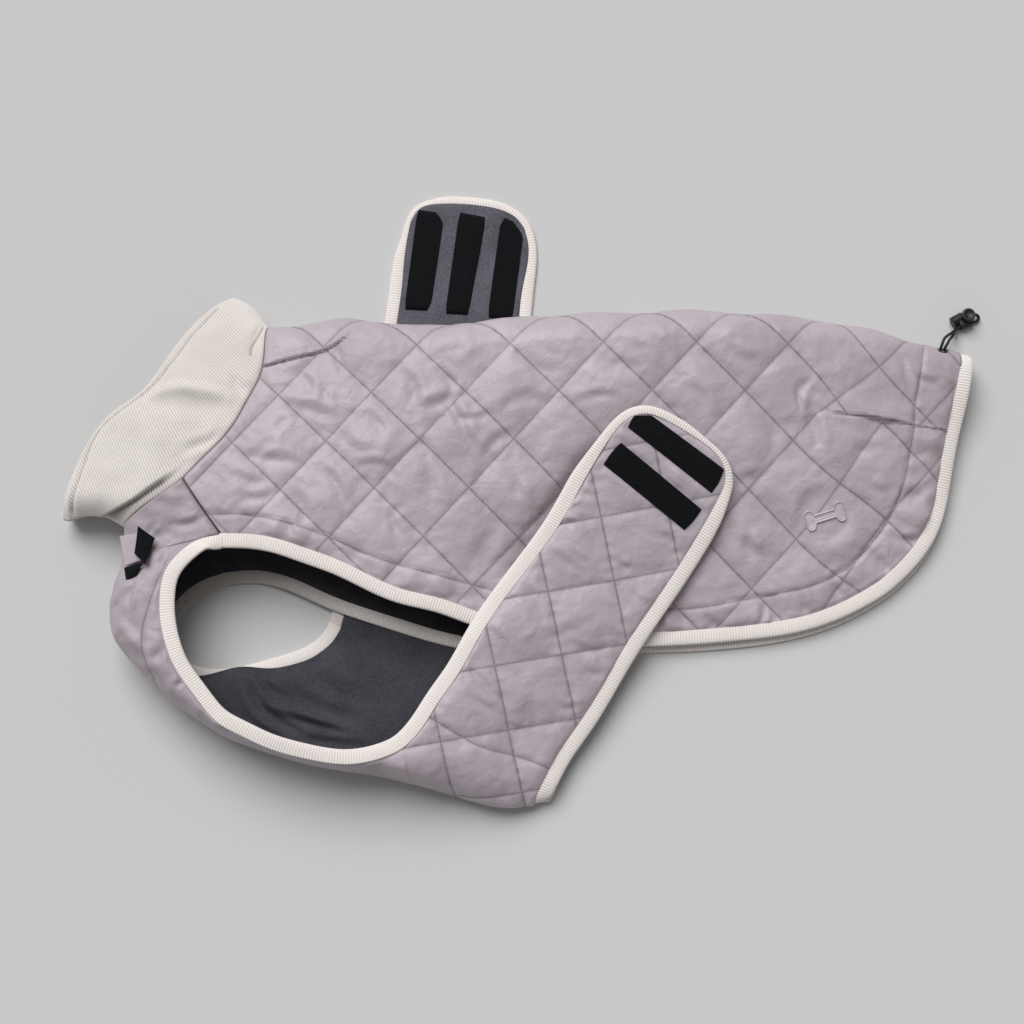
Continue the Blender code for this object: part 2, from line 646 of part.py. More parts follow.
def turned(profile, start, end, sides=20):
    """Closed solid turned about the line from start to end: (distance along it, radius)."""
    start, end = np.array(start, float), np.array(end, float)
    axis = (end - start) / np.linalg.norm(end - start)
    across = np.cross(axis, (0.0, 0.0, 1.0) if abs(axis[2]) < 0.9 else (1.0, 0.0, 0.0))
    across /= np.linalg.norm(across)
    other = np.cross(axis, across)
    angle = 2 * math.pi * np.arange(sides) / sides
    ring = np.cos(angle)[:, None] * across + np.sin(angle)[:, None] * other
    points = np.concatenate([start + axis * t + ring * r for t, r in profile])
    faces = [[k * sides + i, k * sides + (i + 1) % sides,
              (k + 1) * sides + (i + 1) % sides, (k + 1) * sides + i]
             for k in range(len(profile) - 1) for i in range(sides)]
    last = (len(profile) - 1) * sides
    return points, faces + [list(range(sides))[::-1], [last + i for i in range(sides)]]


def locate(surface, x, y):
    """The surface's parameters above a plan point: the nearest of a grid of samples,
    looked for again and again in a window that shrinks round it."""
    u, v, window = 0.5, 0.5, 0.5
    for _ in range(12):
        us = np.clip(np.linspace(u - window, u + window, 17), 0.0, 1.0)
        vs = np.clip(np.linspace(v - window, v + window, 17), 0.0, 1.0)
        points = surface(us, vs)
        away = (points[..., 0] - x) ** 2 + (points[..., 1] - y) ** 2
        i, j = np.unravel_index(np.argmin(away), away.shape)
        u, v, window = us[i], vs[j], window * 0.4
    return u, v


def patch(surface, corners, lengthwise, crosswise):
    """Part of a surface between four plan corners, given in the order start low, start
    high, end high, end low, as a sheet that faces the way the surface does."""
    start_low, start_high, end_high, end_low = (np.array(locate(surface, *c)) for c in corners)
    s = spread(lengthwise)[:, None, None]
    t = spread(crosswise)[None, :, None]
    places = ((1 - s) * (1 - t) * start_low + (1 - s) * t * start_high
              + s * (1 - t) * end_low + s * t * end_high)
    points = np.array([[surface(np.array([u]), np.array([v]))[0, 0] for u, v in row]
                       for row in places]).reshape(-1, 3)
    return points, grid_faces(lengthwise + 1, crosswise + 1)


# ------------------------------------------------------------------ the object
def clear_scene():
    for old in list(bpy.data.objects):
        bpy.data.objects.remove(old, do_unlink=True)


def make_materials():
    return {
        "satin": material("quilted satin", (0.42, 0.36, 0.41), 0.45),
        "fleece": material("fleece lining", (0.17, 0.16, 0.20), 0.95),
        "binding": material("corduroy binding", (0.78, 0.73, 0.69), 0.85),
        "collar": material("corduroy collar", (0.80, 0.75, 0.71), 0.85),
        "tape": material("hook and loop tape", (0.012, 0.013, 0.015), 0.80),
        "cord": material("elastic cord", (0.015, 0.014, 0.020), 0.70),
        "plastic": material("black plastic", (0.014, 0.014, 0.015), 0.40),
    }


def back_panel_grid():
    """Grid of the back panel: along it, and from its far lower edge to the near one."""
    front = [0.0, SHOULDER_SHARE / 2]
    shares = np.concatenate([front, np.linspace(SHOULDER_SHARE, 1.0, BACK_LENGTH_CELLS + 1)])
    return back_grid(shares, spread(BACK_SIDE_CELLS), spread(FOLD_CELLS))


def belly_panel_grids():
    """Grids of the chest strip and of the two wings, which share an edge."""
    corner = SHOULDER_ROW / (len(CHEST) - 1)
    rows = np.concatenate([[0.0, corner / 2], np.linspace(corner, 1.0, CHEST_ROWS - 1)])
    turn, flat = spread(CHEST_CELLS), spread(CHEST_FLAT_CELLS)
    chest = chest_grid(rows, turn, flat)
    along = far_wing_shares(flat, FAR_WING_CELLS)
    wings = wing_grid(spread(WING_CELLS), spread(WING_LENGTH_CELLS), turn, along)
    return chest, wings


def grid_normals(grid):
    return point_normals(grid.reshape(-1, 3), grid_faces(*grid.shape[:2])).reshape(grid.shape)


def rim(grids, stretches):
    """Points and normals of an edge that is made of stretches of grids' points."""
    points = np.concatenate([grids[k][take] for k, take in stretches])
    normals = np.concatenate([grid_normals(grids[k])[take] for k, take in stretches])
    return points, normals


def make_bindings(back, chest, wings, finish, root):
    """Tape folded over every free edge of each panel, as one bar per panel."""
    edge, normals = rim([back], [(0, np.s_[2:, -1]), (0, np.s_[-1, -2:0:-1]),
                                 (0, np.s_[:1:-1, 0])])
    add_binding("back_binding", edge, normals, 1, finish, root)
    corner = WING_LENGTH_CELLS + CHEST_CELLS + CHEST_FLAT_CELLS
    edge, normals = rim([chest, wings], [
        (0, np.s_[2:-1, 0]), (1, np.s_[0, WING_LENGTH_CELLS::-1]), (1, np.s_[1:, 0]),
        (1, np.s_[-1, 1:]), (1, np.s_[-2::-1, -1]), (1, np.s_[0, -2:corner - 1:-1]),
        (0, np.s_[-2:1:-1, -1])])
    add_binding("belly_binding", edge, normals, -1, finish, root)


def add_binding(name, edge, normals, side, finish, root):
    away = outward(edge, normals, side)
    away[0] = away[-1] = (0.1 * side, -0.995, 0.0)
    line = edge - normals * BINDING_SINK
    add_mesh(name, ribbon(line, away, BINDING_THICK, binding_widths(edge)), finish, root)


def binding_widths(edge):
    """The belly panel's binding is narrower round both wing tips."""
    widths = np.full(len(edge), BINDING_WIDTH)
    for place in NARROW_BINDING:
        away = np.hypot(edge[:, 0] - place.x, edge[:, 1] - place.y)
        widths -= place.by * (1.0 - smooth_step((away - place.full) / (place.none - place.full)))
    return widths


def collar_sheet(back, chest):
    """Ring from the neck seam to the collar's free edge: the near half runs from nape to
    throat, the far half back under it.  Across it the near layer swells."""
    count = BACK_SIDE_CELLS
    nape = count + FOLD_CELLS // 2
    throat = CHEST_CELLS // 2
    seam, normals = rim([back, chest], [(0, np.s_[0, nape:]), (1, np.s_[0, 1:-1]),
                                        (0, np.s_[0, :nape])])
    order = np.arange(len(seam))
    behind, ahead = np.roll(seam, 1, axis=0), np.roll(seam, -1, axis=0)
    away = np.cross(ahead - behind, normals)
    away /= np.linalg.norm(away, axis=1, keepdims=True)
    turn = len(back[0]) - nape + throat - 1
    step = np.linalg.norm(np.diff(np.concatenate([seam, seam[:1]]), axis=0), axis=1)
    near_share = np.concatenate([[0.0], np.cumsum(step[:turn])]) / step[:turn].sum()
    far_share = 1.0 - np.cumsum(step[turn:]) / step[turn:].sum()
    share = np.concatenate([near_share, far_share[:-1]])
    is_far = order > turn
    edge = curve(COLLAR_EDGE)(share)
    sag = np.sin(math.pi * share) ** 0.5 * COLLAR_FAR_INSET
    inward = np.array([0.8, -0.6])
    edge[is_far, :2] += sag[is_far, None] * inward
    edge[is_far, 2] = COLLAR_THICK / 2
    throat_fold = np.exp(-((1.0 - share) / COLLAR_FOLD) ** 2)[:, None]
    nape_fold = np.exp(-(share / COLLAR_FOLD) ** 2)[:, None]
    start = seam + away * (COLLAR_GAP + COLLAR_FOLD_GAP * (throat_fold + nape_fold))
    start[:, 2] = np.maximum(start[:, 2], COLLAR_THICK / 2)
    across = spread(COLLAR_CELLS)
    sheet = start[:, None] + (edge - start)[:, None] * across[None, :, None]
    bulge = np.sin(math.pi * across)[None]
    lift = np.where(is_far, 0.0, np.sin(math.pi * share))[:, None]
    sheet[..., 2] += COLLAR_PUFF * bulge * lift
    sheet[..., 1] += bulge * (COLLAR_PINCH * throat_fold + COLLAR_NAPE * nape_fold)
    sheet[..., 0] += bulge * COLLAR_NAPE * nape_fold
    return sheet.reshape(-1, 3), grid_faces(*sheet.shape[:2], closed_rows=True)


def add_mesh(name, made, finish, root):
    """Object from points and quads, cut along their shorter diagonals."""
    points, faces = made
    return add_object(name, points, split_quads(points, np.asarray(faces)), finish, root)


def make_tapes(finishes, root):
    outer = SHELL / 2 + TAPE_RISE + TAPE_THICK
    for name, *corners in LOOP_STRIPS:
        sheet = patch(near_wing, corners, TAPE_CELLS, 2)
        add_wall(name, turned_up(sheet), outer, SHELL / 2 + TAPE_RISE, finishes["tape"], root)
    lining = SHELL / 2 + SEAM_GAP + LINING
    for name, *corners in HOOK_STRIPS:
        sheet = patch(far_wing, corners, TAPE_CELLS, 2)
        add_wall(name, turned_up(sheet), lining + TAPE_RISE + TAPE_THICK, lining + TAPE_RISE,
                 finishes["tape"], root)


def turned_up(sheet):
    """The sheet, turned over if it faces down."""
    points, faces = sheet
    if point_normals(points, faces)[:, 2].mean() < 0:
        faces = faces[:, ::-1]
    return points, faces


def bone_half_width(a):
    """Half width of the badge's bone at a distance along it: a bar between two knobs."""
    knob = BADGE_KNOB * 0.9
    from_knob = (np.abs(a) - (BADGE_LENGTH / 2 - knob / 2)) / (knob / 2)
    round_end = np.sqrt(np.clip(1.0 - from_knob ** 2, 0.08, 1.0))
    return np.where(from_knob > -1.0, BADGE_BAR + (BADGE_KNOB - BADGE_BAR) * round_end, BADGE_BAR)


def make_badge(finish, root):
    """Low raised bone on the near flank."""
    along = np.linspace(-0.5, 0.5, BADGE_CELLS + 1) * BADGE_LENGTH
    across = np.linspace(-1.0, 1.0, 5)
    a = np.repeat(along[:, None], len(across), axis=1)
    b = bone_half_width(a) * across
    cos, sin = math.cos(BADGE_TURN), math.sin(BADGE_TURN)
    x = BADGE_AT[0] + a * cos - b * sin
    y = BADGE_AT[1] + a * sin + b * cos
    sheet = with_height(np.stack([x, y], axis=-1), near_height).reshape(-1, 3)
    low = SHELL / 2 + TAPE_RISE
    add_wall("flank_badge", turned_up((sheet, grid_faces(*a.shape))), low + BADGE_THICK, low,
             finish, root)


def make_eyelet(finish, root):
    """Oval wire ring lying on the spine fold."""
    s = np.array([EYELET_SHARE])
    here, ahead = back_fold(s, np.array([EYELET_TURN, EYELET_TURN + 0.01]))[0]
    beside = back_fold(s + 0.01, np.array([EYELET_TURN]))[0, 0]
    along = (beside - here) / np.linalg.norm(beside - here)
    across = (ahead - here) / np.linalg.norm(ahead - here)
    up = np.cross(across, along)
    up *= np.sign(up[2])
    middle = here + up * (SHELL / 2 + EYELET_WIRE + TAPE_RISE)
    angle = 2 * math.pi * np.arange(EYELET_POINTS) / EYELET_POINTS
    ring = (middle + np.cos(angle)[:, None] * along * EYELET_LENGTH / 2
            + np.sin(angle)[:, None] * across * EYELET_WIDTH / 2)
    data = bpy.data.curves.new("eyelet", "CURVE")
    data.dimensions = "3D"
    data.bevel_depth = EYELET_WIRE * MM
    data.bevel_resolution = 2
    spline = data.splines.new("POLY")
    spline.points.add(len(ring) - 1)
    spline.points.foreach_set("co", np.c_[ring * MM, np.ones(len(ring))].ravel())
    spline.use_cyclic_u = True
    data.materials.append(finish)
    link(bpy.data.objects.new("eyelet", data), root)


def link(made, root):
    made.parent = root
    bpy.context.scene.collection.objects.link(made)
    return made


def make_drawcord(finish, root):
    """One elastic cord, out of the eyelet, through the lock and back."""
    data = bpy.data.curves.new("drawcord", "CURVE")
    data.dimensions = "3D"
    data.bevel_depth = CORD / 2 * MM
    data.bevel_resolution = 2
    data.use_fill_caps = True
    points = curve(CORD_ROUTE)(np.linspace(0.0, 1.0, CORD_POINTS))
    spline = data.splines.new("POLY")
    spline.points.add(CORD_POINTS - 1)
    spline.points.foreach_set("co", np.c_[points * MM, np.ones(CORD_POINTS)].ravel())
    data.materials.append(finish)
    link(bpy.data.objects.new("drawcord", data), root)


def in_lock(along, across):
    """Plan point from distances along and across the lock's direction."""
    (x, y), (dx, dy) = LOCK_ENTRY, LOCK_ALONG
    return x + dx * along - dy * across, y + dy * along + dx * across


def combine(target, tool, operation):
    """Exact Boolean with a hidden helper."""
    tool.hide_render = True
    tool.display_type = "WIRE"
    cut = target.modifiers.new(operation.lower(), "BOOLEAN")
    cut.operation = operation
    cut.solver = "EXACT"
    cut.object = tool


def make_lock(finish, root):
    """Cord lock: a block with a slot for both strands, a ribbed barrel and a button."""
    low, high, right, left = LOCK_BLOCK
    outline = [in_lock(*p) for p in [(low, right), (high, right), (high, left), (low, left)]]
    block = add_object("cord_lock", *prism(outline, 0.0, LOCK_HEIGHT), finish, root)
    height = BARREL_RADIUS + BARREL_RIB
    length = math.dist(BARREL_END, BARREL_ROOT)
    profile = [(t, BARREL_RADIUS + BARREL_RIB * (k % 2))
               for k, t in enumerate(np.linspace(0.0, length, 2 * BARREL_RIBS + 1))]
    barrel = add_object("barrel", *turned(profile, (*BARREL_END, height), (*BARREL_ROOT, height)),
                        finish, root)
    combine(block, barrel, "UNION")
    slot = add_object("slot", *prism([in_lock(*p) for p in LOCK_SLOT], SLOT_LOW, SLOT_HIGH),
                      finish, root)
    combine(block, slot, "DIFFERENCE")
    base = max(LOCK_HEIGHT, 2 * height) + SEAM_GAP
    crown = [(0.0, BUTTON_RADIUS - 0.4), (0.4, BUTTON_RADIUS), (BUTTON_HEIGHT - 1.0, BUTTON_RADIUS),
             (BUTTON_HEIGHT - 0.3, BUTTON_RADIUS - 0.7), (BUTTON_HEIGHT, BUTTON_RADIUS - 1.8)]
    add_object("lock_button", *turned(crown, (*BUTTON_AT, base), (*BUTTON_AT, base + 1.0)),
               finish, root)


def main():
    clear_scene()
    root = bpy.data.objects.new("coat", None)
    root.location = (-CENTRE_X * MM, -CENTRE_Y * MM, 0.0)
    bpy.context.scene.collection.objects.link(root)
    finishes = make_materials()

    back = back_panel_grid()
    chest, wings = belly_panel_grids()
    back_sheet = back.reshape(-1, 3), grid_faces(*back.shape[:2])
    belly_sheet = weld([(chest.reshape(-1, 3), grid_faces(*chest.shape[:2])),
                        (wings.reshape(-1, 3), grid_faces(*wings.shape[:2]))])
    top = -(SHELL / 2 + SEAM_GAP)
    add_wall("back_panel", back_sheet, SHELL / 2, -SHELL / 2, finishes["satin"], root)
    add_wall("belly_panel", belly_sheet, SHELL / 2, -SHELL / 2, finishes["satin"], root)
    add_wall("back_lining", back_sheet, top, top - LINING, finishes["fleece"], root)
    add_wall("belly_lining", belly_sheet, top, top - LINING, finishes["fleece"], root)
    add_wall("collar", collar_sheet(back, chest), COLLAR_THICK / 2, -COLLAR_THICK / 2,
             finishes["collar"], root)
    make_bindings(back, chest, wings, finishes["binding"], root)
    make_tapes(finishes, root)
    make_badge(finishes["satin"], root)
    add_mesh("throat_tab", plate(THROAT_TAB, THROAT_THICK), finishes["satin"], root)
    add_mesh("throat_hook", plate(THROAT_HOOK, THROAT_THICK), finishes["tape"], root)
    add_mesh("throat_loop", plate(THROAT_LOOP, THROAT_THICK), finishes["tape"], root)
    make_eyelet(finishes["cord"], root)
    make_drawcord(finishes["cord"], root)
    make_lock(finishes["plastic"], root)
    bpy.context.view_layer.update()


main()
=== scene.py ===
"""Looks of a quilted dog coat that lies on its right side on a flat surface.

The head end points to -X and the tail to +X; the spine fold lies along +Y and the belly
fold along -Y.  Each panel is one surface of two parameters: an even sheet, moved out by
its wadding between the quilting lines, by its creases, and in along its seams.

Lengths below are millimetres from the middle of the laid-out coat; place() turns them
into the frame's metres.
"""

import math
from collections import namedtuple
from math import pi

import bpy
import numpy as np
from bpy.props import FloatProperty, FloatVectorProperty, PointerProperty
from bpy.types import Operator, Panel, PropertyGroup
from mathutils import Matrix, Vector
from numpy.linalg import norm


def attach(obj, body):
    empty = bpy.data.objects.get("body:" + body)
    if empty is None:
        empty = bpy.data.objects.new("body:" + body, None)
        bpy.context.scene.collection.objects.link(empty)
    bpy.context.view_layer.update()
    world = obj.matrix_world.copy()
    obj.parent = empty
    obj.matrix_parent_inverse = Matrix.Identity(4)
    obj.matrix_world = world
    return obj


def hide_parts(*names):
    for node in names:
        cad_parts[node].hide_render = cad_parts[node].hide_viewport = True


bl_info = {
    "name": "Quilted Dog Coat",
    "version": (1, 0, 0),
    "blender": (4, 5, 0),
    "location": "View3D > Sidebar > Coat",
    "description": "Makes the cloth, bindings and trim of a quilted dog coat laid on its side",
    "category": "Object",
}

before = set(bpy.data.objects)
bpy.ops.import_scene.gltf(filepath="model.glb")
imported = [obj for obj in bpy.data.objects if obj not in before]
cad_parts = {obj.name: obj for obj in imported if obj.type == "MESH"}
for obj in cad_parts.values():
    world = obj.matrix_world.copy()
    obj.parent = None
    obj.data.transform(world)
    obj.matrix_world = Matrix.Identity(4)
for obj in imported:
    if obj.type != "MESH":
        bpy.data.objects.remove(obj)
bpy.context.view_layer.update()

MM = 0.001
CENTRE = np.array([6.73, 17.69, 0.0])

# ---- cloth
SHELL = 2.4            # quilted satin with its wadding
LINING = 1.2           # fleece
LINING_GAP = 0.12      # inside the shell
FLEECE_WAVES = 0.35
SEAM_GAP = 0.3         # between neighbouring pieces
BINDING_WIDTH = 9.5
BINDING_SINK = 0.55    # bindings' middle, inward of the shell's middle
COLLAR_THICK = 3.0
COLLAR_PUFF = 4.0
COLLAR_PINCH = 7.0
COLLAR_NAPE = 3.0
COLLAR_FOLD = 0.12
COLLAR_FAR_INSET = 2.0
WING_LIFT = 7.6
FAR_STEP = 4.6
STEP_RUN = 30.0
STEP_CLEAR = 26.0
SHOULDER_GAP = (-0.6, -0.35)
# Where the binding is narrower: x, y, how far round it fully, how far at all, by how much.
NARROW_BINDING = [
    (110, 53, 34, 78, 4.2), (148, 30, 14, 40, 2.2), (-27, 238, 48, 85, 2.8),
    (-78, 228, 14, 36, 2.0),
]

# Flat sizes the pieces are cut to, in metres.
LOOP_CUT, HOOK_CUT = (0.074, 0.0195), (0.077, 0.0195)

# ---- back panel
# The spine fold: x, y of its outline seen from above, and the near layer's height there.
RIDGE = [
    (-175, 132, 50), (-143, 133, 53), (-122, 137, 55), (-84, 133, 57), (-17, 135, 59),
    (32, 139, 60), (76, 141, 60), (131, 143, 58), (186, 141, 51), (238, 136, 40), (272, 129, 33),
    (305, 121, 27), (324, 118, 24),
]
SHOULDER_SHARE = 0.1   # where the shoulder seam ends, as a share of the lower edge
RIDGE_ROLL = 0.4       # the fold's reach beyond the near layer, as a share of its height

# The near flank's edges, as x, y and height.  Below: shoulder, leg hole, wing, hem.
NEAR_SHOULDER = [(-229, 17, 54), (-217, -1, 53), (-201, -23, 51)]
NEAR_HEM = [
    (-201, -23, 51), (-187, -23, 51), (-165, -26, 51), (-144, -33, 50), (-119, -42, 49),
    (-77, -61, 46), (-50, -67, 43), (-24, -76, 38), (34, -84, 23), (99, -86, 12.5), (156, -82, 10),
    (208, -74, 10), (241, -61, 10), (262, -49, 10),
]
NEAR_TAIL = [
    (323, 109, 24), (319, 86, 20), (313, 60, 16), (307, 31, 14), (299, -2, 12), (286, -25, 11),
    (262, -49, 10),
]
NEAR_NECK = [
    (-175, 112, 50), (-177, 93, 52), (-185, 75, 54), (-198, 51, 55), (-212, 35, 55), (-229, 17, 54),
]
FLANK_SWELL = 5.0      # the near flank stands this much above a plain slope

# The near flank dips along the near wing's left edge.
VALLEY = ((60, 44), (-2, -50))
VALLEY_WIDTH, VALLEY_DEPTH = 8.0, 5.0

# The far flank's edges, flat on the surface: x and y.
FAR_SHOULDER = [(-236, 10), (-222, -16), (-206, -41)]
FAR_HEM = [
    (-206, -41), (-188, -39), (-170, -41), (-148, -49), (-126, -59), (-104, -67), (-79, -75),
    (-30, -88), (34, -89), (95, -89), (156, -86), (208, -77), (241, -64), (264, -50),
]
FAR_TAIL = [(323, 109), (319, 86), (313, 60), (307, 30), (299, -3), (287, -27), (264, -50)]
FAR_NECK = [(-175, 112), (-180, 84), (-198, 48), (-236, 10)]

# ---- belly panel
# Rows across the chest strip, from the neck to where the wings begin: x, y, z of the near
# edge, x, y, z of the side where the panel turns under, and x, y of the far edge.
CHEST = [
    (-229, 17, 54, -271, -12, 34, -236, 10), (-217, -1, 53, -271, -26, 33, -222, -16),
    (-201, -23, 51, -272, -39, 33, -206, -41), (-217, -27, 52, -275, -50, 32, -224, -48),
    (-228, -35, 53, -277, -58, 32, -238, -60), (-238, -48, 54, -279, -67, 32, -247, -72),
    (-241, -64, 54, -279, -78, 32, -251, -86), (-240, -84, 54, -276, -91, 32, -249, -98),
    (-234, -106, 54, -266, -105, 31, -240, -109), (-226, -121, 53, -253, -119, 30, -228, -116),
    (-213, -138, 52, -237, -134, 29, -212, -119), (-201, -152, 51, -218, -147, 27, -196, -118),
    (-186, -160, 50, -198, -159.5, 26, -182, -115), (-167, -169, 48, -175, -168, 25, -165, -110),
    (-142, -176, 46, -147, -176.5, 24, -149, -105), (-117, -180, 45, -120, -182, 23, -140, -101),
    (-97, -178, 45, -98, -185, 21, -133, -96), (-84, -174, 45.5, -82, -188, 19.5, -127, -90),
    (-75, -170, 46, -70, -191, 18, -122, -82),
]
SHOULDER_ROW = 2       # the row at the tip between shoulder seam and leg hole
ROLL_UNDER = 17.0      # from the side to where the far half reaches the surface

# Rows across the belly fold between the wings: x, y, z of its top, x, y, z of its side,
# and x, y of its underside.
BELLY = [
    (-75, -170, 46, -70, -191, 18, -79, -172), (-50, -167, 43, -46, -198, 14, -51, -177),
    (-25, -168, 36, -18, -205, 11, -22, -187), (0, -173, 27, 2, -207, 9, 3, -193),
    (26, -184, 15, 15, -206, 7.5, 24, -190),
]

# The near wing's edges, from the belly to its rounded tip.
WING_LEFT = [
    (-75, -170, 46), (-63, -157, 46), (-51, -138, 46), (-37, -118, 46), (-25, -96, 46),
    (4, -53, 43), (33, -13, 46), (54, 24, 52), (61.5, 36, 55), (70, 49, 57),
]
WING_TIP = [
    (70, 49, 57), (77.6, 57.2, 58), (84.5, 61.4, 59), (92, 63, 59), (107, 58.5, 57),
    (127, 47.5, 53), (139, 39.5, 50), (147, 31.5, 47), (150.5, 23, 45), (151, 14, 43),
]
WING_RIGHT = [
    (26, -184, 15), (35, -168, 15), (46, -153, 16), (66, -121, 18), (81, -96, 20), (91.5, -80, 21),
    (112.5, -50, 27), (127.5, -27, 32), (140, -6, 39), (151, 14, 43),
]

# The far wing's edges, flat on the surface, from the leg hole to its rounded tip.
FAR_WING_LEFT = [
    (-122, -82), (-117, -62), (-106, -10), (-96, 50), (-85, 141), (-81, 172), (-79, 198),
    (-75, 223),
]
FAR_WING_TIP = [(-75, 223), (-70, 232), (-53, 237), (-27, 236), (-5, 231), (3, 226), (9, 218)]
FAR_WING_RIGHT = [
    (24, -190), (14, -150), (9, -60), (5, 60), (5, 144), (7, 168), (11, 188), (12, 205), (9, 218),
]
# Outer lines of the far wing, with its binding, for the far flank's rise over it.
FAR_WING_SIDES = [(-82, -132, 24), (142, -95, 15)]

# ---- collar
# The free edge seen from above, from the nape to the throat, with the near layer's height.
COLLAR_EDGE = [
    (-203, 159, 17), (-209, 153, 28), (-228, 134, 35), (-248, 105, 38), (-266, 81, 39),
    (-281, 70, 39), (-293, 57, 38), (-303, 41, 36), (-310, 25, 33), (-316, 9, 29), (-319, -5, 15),
]

# ---- tapes
# Each strip lies on a wing: the plan places of its four corners, round the strip.
TAPE_THICK = 1.2
TAPE_RISE = 0.4        # clear of what the strip lies on
Strip = namedtuple("Strip", "name start_low start_high end_high end_low")
LOOP_STRIPS = [
    Strip("loop_strip_1", (79, 53), (90, 65), (149, 24), (140, 8)),
    Strip("loop_strip_2", (63, 27), (75, 42), (133, -3), (121, -17)),
]
HOOK_STRIPS = [
    Strip("hook_strip_1", (-79, 155), (-70, 232), (-50, 229), (-60, 154)),
    Strip("hook_strip_2", (-49, 152), (-39, 230), (-19, 226), (-32, 151)),
    Strip("hook_strip_3", (-18, 149), (-8, 227), (9, 219), (0, 146)),
]

# ---- throat closure
# Small plates: corners in space, round the plate.
THROAT_THICK = 1.2
THROAT_TAB = [
    (-273.5, -22, 42.5), (-268.3, -44, 46.5), (-256, -41, 52), (-260, -22, 52.5),
]
THROAT_HOOK = [
    (-258.8, -17.5, 54.5), (-260.8, -36.5, 54), (-252.8, -44.5, 55.5), (-246.8, -26, 56.5),
]
THROAT_LOOP = [
    (-269, -45, 46), (-266.8, -55, 47.5), (-259.6, -51.5, 52), (-255.4, -43, 53),
]

# ---- badge
BADGE_AT = (221.0, -4.0)
BADGE_LENGTH = 30.0
BADGE_BAR = 3.4        # half width of the bone's bar
BADGE_KNOB = 7.6       # half width of its ends
BADGE_TURN = math.radians(18)

# ---- cord and lock
CORD = 2.2
EYELET_SHARE = 0.9714  # along the spine fold
EYELET_TURN = 0.80     # round it
EYELET_LENGTH = 7.1    # between the middles of its wire, along the fold and across it
EYELET_WIDTH = 4.0
EYELET_WIRE = 0.5
# The cord's route: out of the eyelet, down to the surface, through the lock, round its
# own small loop, and back through the lock to the eyelet.
CORD_ROUTE = [
    (307.8, 117.3, 25.7), (308.2, 119.4, 28.0), (309.8, 123.2, 26.6), (312.6, 128.2, 21.0),
    (318.4, 133.8, 13.0), (324.0, 138.6, 7.4), (327.6, 141.9, 5.0), (331.0, 145.2, 4.6),
    (334.6, 148.6, 4.6), (337.4, 150.7, 4.4), (340.0, 151.1, 3.8), (341.8, 149.2, 3.0),
    (341.0, 147.1, 2.3), (338.6, 146.1, 2.0), (334.0, 144.3, 2.0), (329.4, 142.3, 2.0),
    (325.4, 140.5, 2.2), (321.8, 135.0, 6.4), (317.8, 129.4, 13.6), (314.8, 124.8, 21.2),
    (312.8, 121.8, 26.0), (311.3, 119.4, 27.5), (310.5, 117.0, 25.3),
]
CORD_POINTS = 44
LOCK_ENTRY = (327.4, 141.8)      # where both strands go into the lock
LOCK_ALONG = (0.93, 0.367)       # and their direction in it
LOCK_BLOCK = (0.0, 10.5, -2.4, 8.0)  # the block's reach along and across that direction
LOCK_HEIGHT = 7.8
LOCK_SLOT = [(-1.0, -1.6), (11.5, -1.6), (11.5, 6.6), (-1.0, 1.9)]
SLOT_LOW, SLOT_HIGH = 0.6, 6.5
BARREL_END = (321.8, 144.4)
BARREL_ROOT = (330.0, 149.0)
BARREL_RADIUS = 3.9
BARREL_RIB = 0.4
BARREL_RIBS = 5
BUTTON_AT = (332.9, 149.0)
BUTTON_RADIUS = 5.0
BUTTON_HEIGHT = 3.0


# ---- curves and surfaces
def run_along(line):
    """Distance of each point of a line from its first."""
    return np.append(0.0, np.cumsum(norm(np.diff(line, axis=0), axis=1)))


def curve(points, knots=None, corners=()):
    """Smooth curve through points, as a function of 0..1: a natural cubic spline over
    the chord length (or the given knots), broken at the listed corners."""
    p = np.array(points, float)
    run = run_along(p)
    k = run / run[-1] if knots is None else np.array(knots, float)
    bend = np.zeros_like(p)
    stops = [0, *corners, len(p) - 1]
    for a, b in zip(stops, stops[1:]):
        if b - a < 2:
            continue
        h = np.diff(k[a:b + 1])
        matrix = np.diag(2 * (h[:-1] + h[1:])) + np.diag(h[1:-1], 1) + np.diag(h[1:-1], -1)
        slope = np.diff(p[a:b + 1], axis=0) / h[:, None]
        bend[a + 1:b] = np.linalg.solve(matrix, 6 * np.diff(slope, axis=0))

    def at(s):
        s = np.clip(np.asarray(s, float), 0.0, 1.0)
        i = np.clip(np.searchsorted(k, s, side="right") - 1, 0, len(k) - 2)
        h = (k[i + 1] - k[i])[..., None]
        a = ((k[i + 1] - s) / (k[i + 1] - k[i]))[..., None]
        b = 1.0 - a
        return (a * p[i] + b * p[i + 1]
                + ((a ** 3 - a) * bend[i] + (b ** 3 - b) * bend[i + 1]) * h * h / 6.0)

    return at


def joined(first, second):
    """Two lists of points that share an end, as one list, and the index of the corner."""
    return [tuple(p) for p in first] + [tuple(p) for p in second[1:]], len(first) - 1


def coons(low, high, left, right, u, v):
    """Surface between four edge curves that meet at the corners, at places u and v of
    one shape: the sum of the two ruled surfaces less the bilinear one."""
    uu, vv = u[..., None], v[..., None]
    ends = [low(0.0), low(1.0), high(0.0), high(1.0)]
    flat = ((1 - uu) * (1 - vv) * ends[0] + uu * (1 - vv) * ends[1]
            + (1 - uu) * vv * ends[2] + uu * vv * ends[3])
    return ((1 - vv) * low(u) + vv * high(u) + (1 - uu) * left(v) + uu * right(v) - flat)


def crossed(u, v):
    """Shares u down the rows and v along the columns of a grid."""
    return np.meshgrid(u, v, indexing="ij")


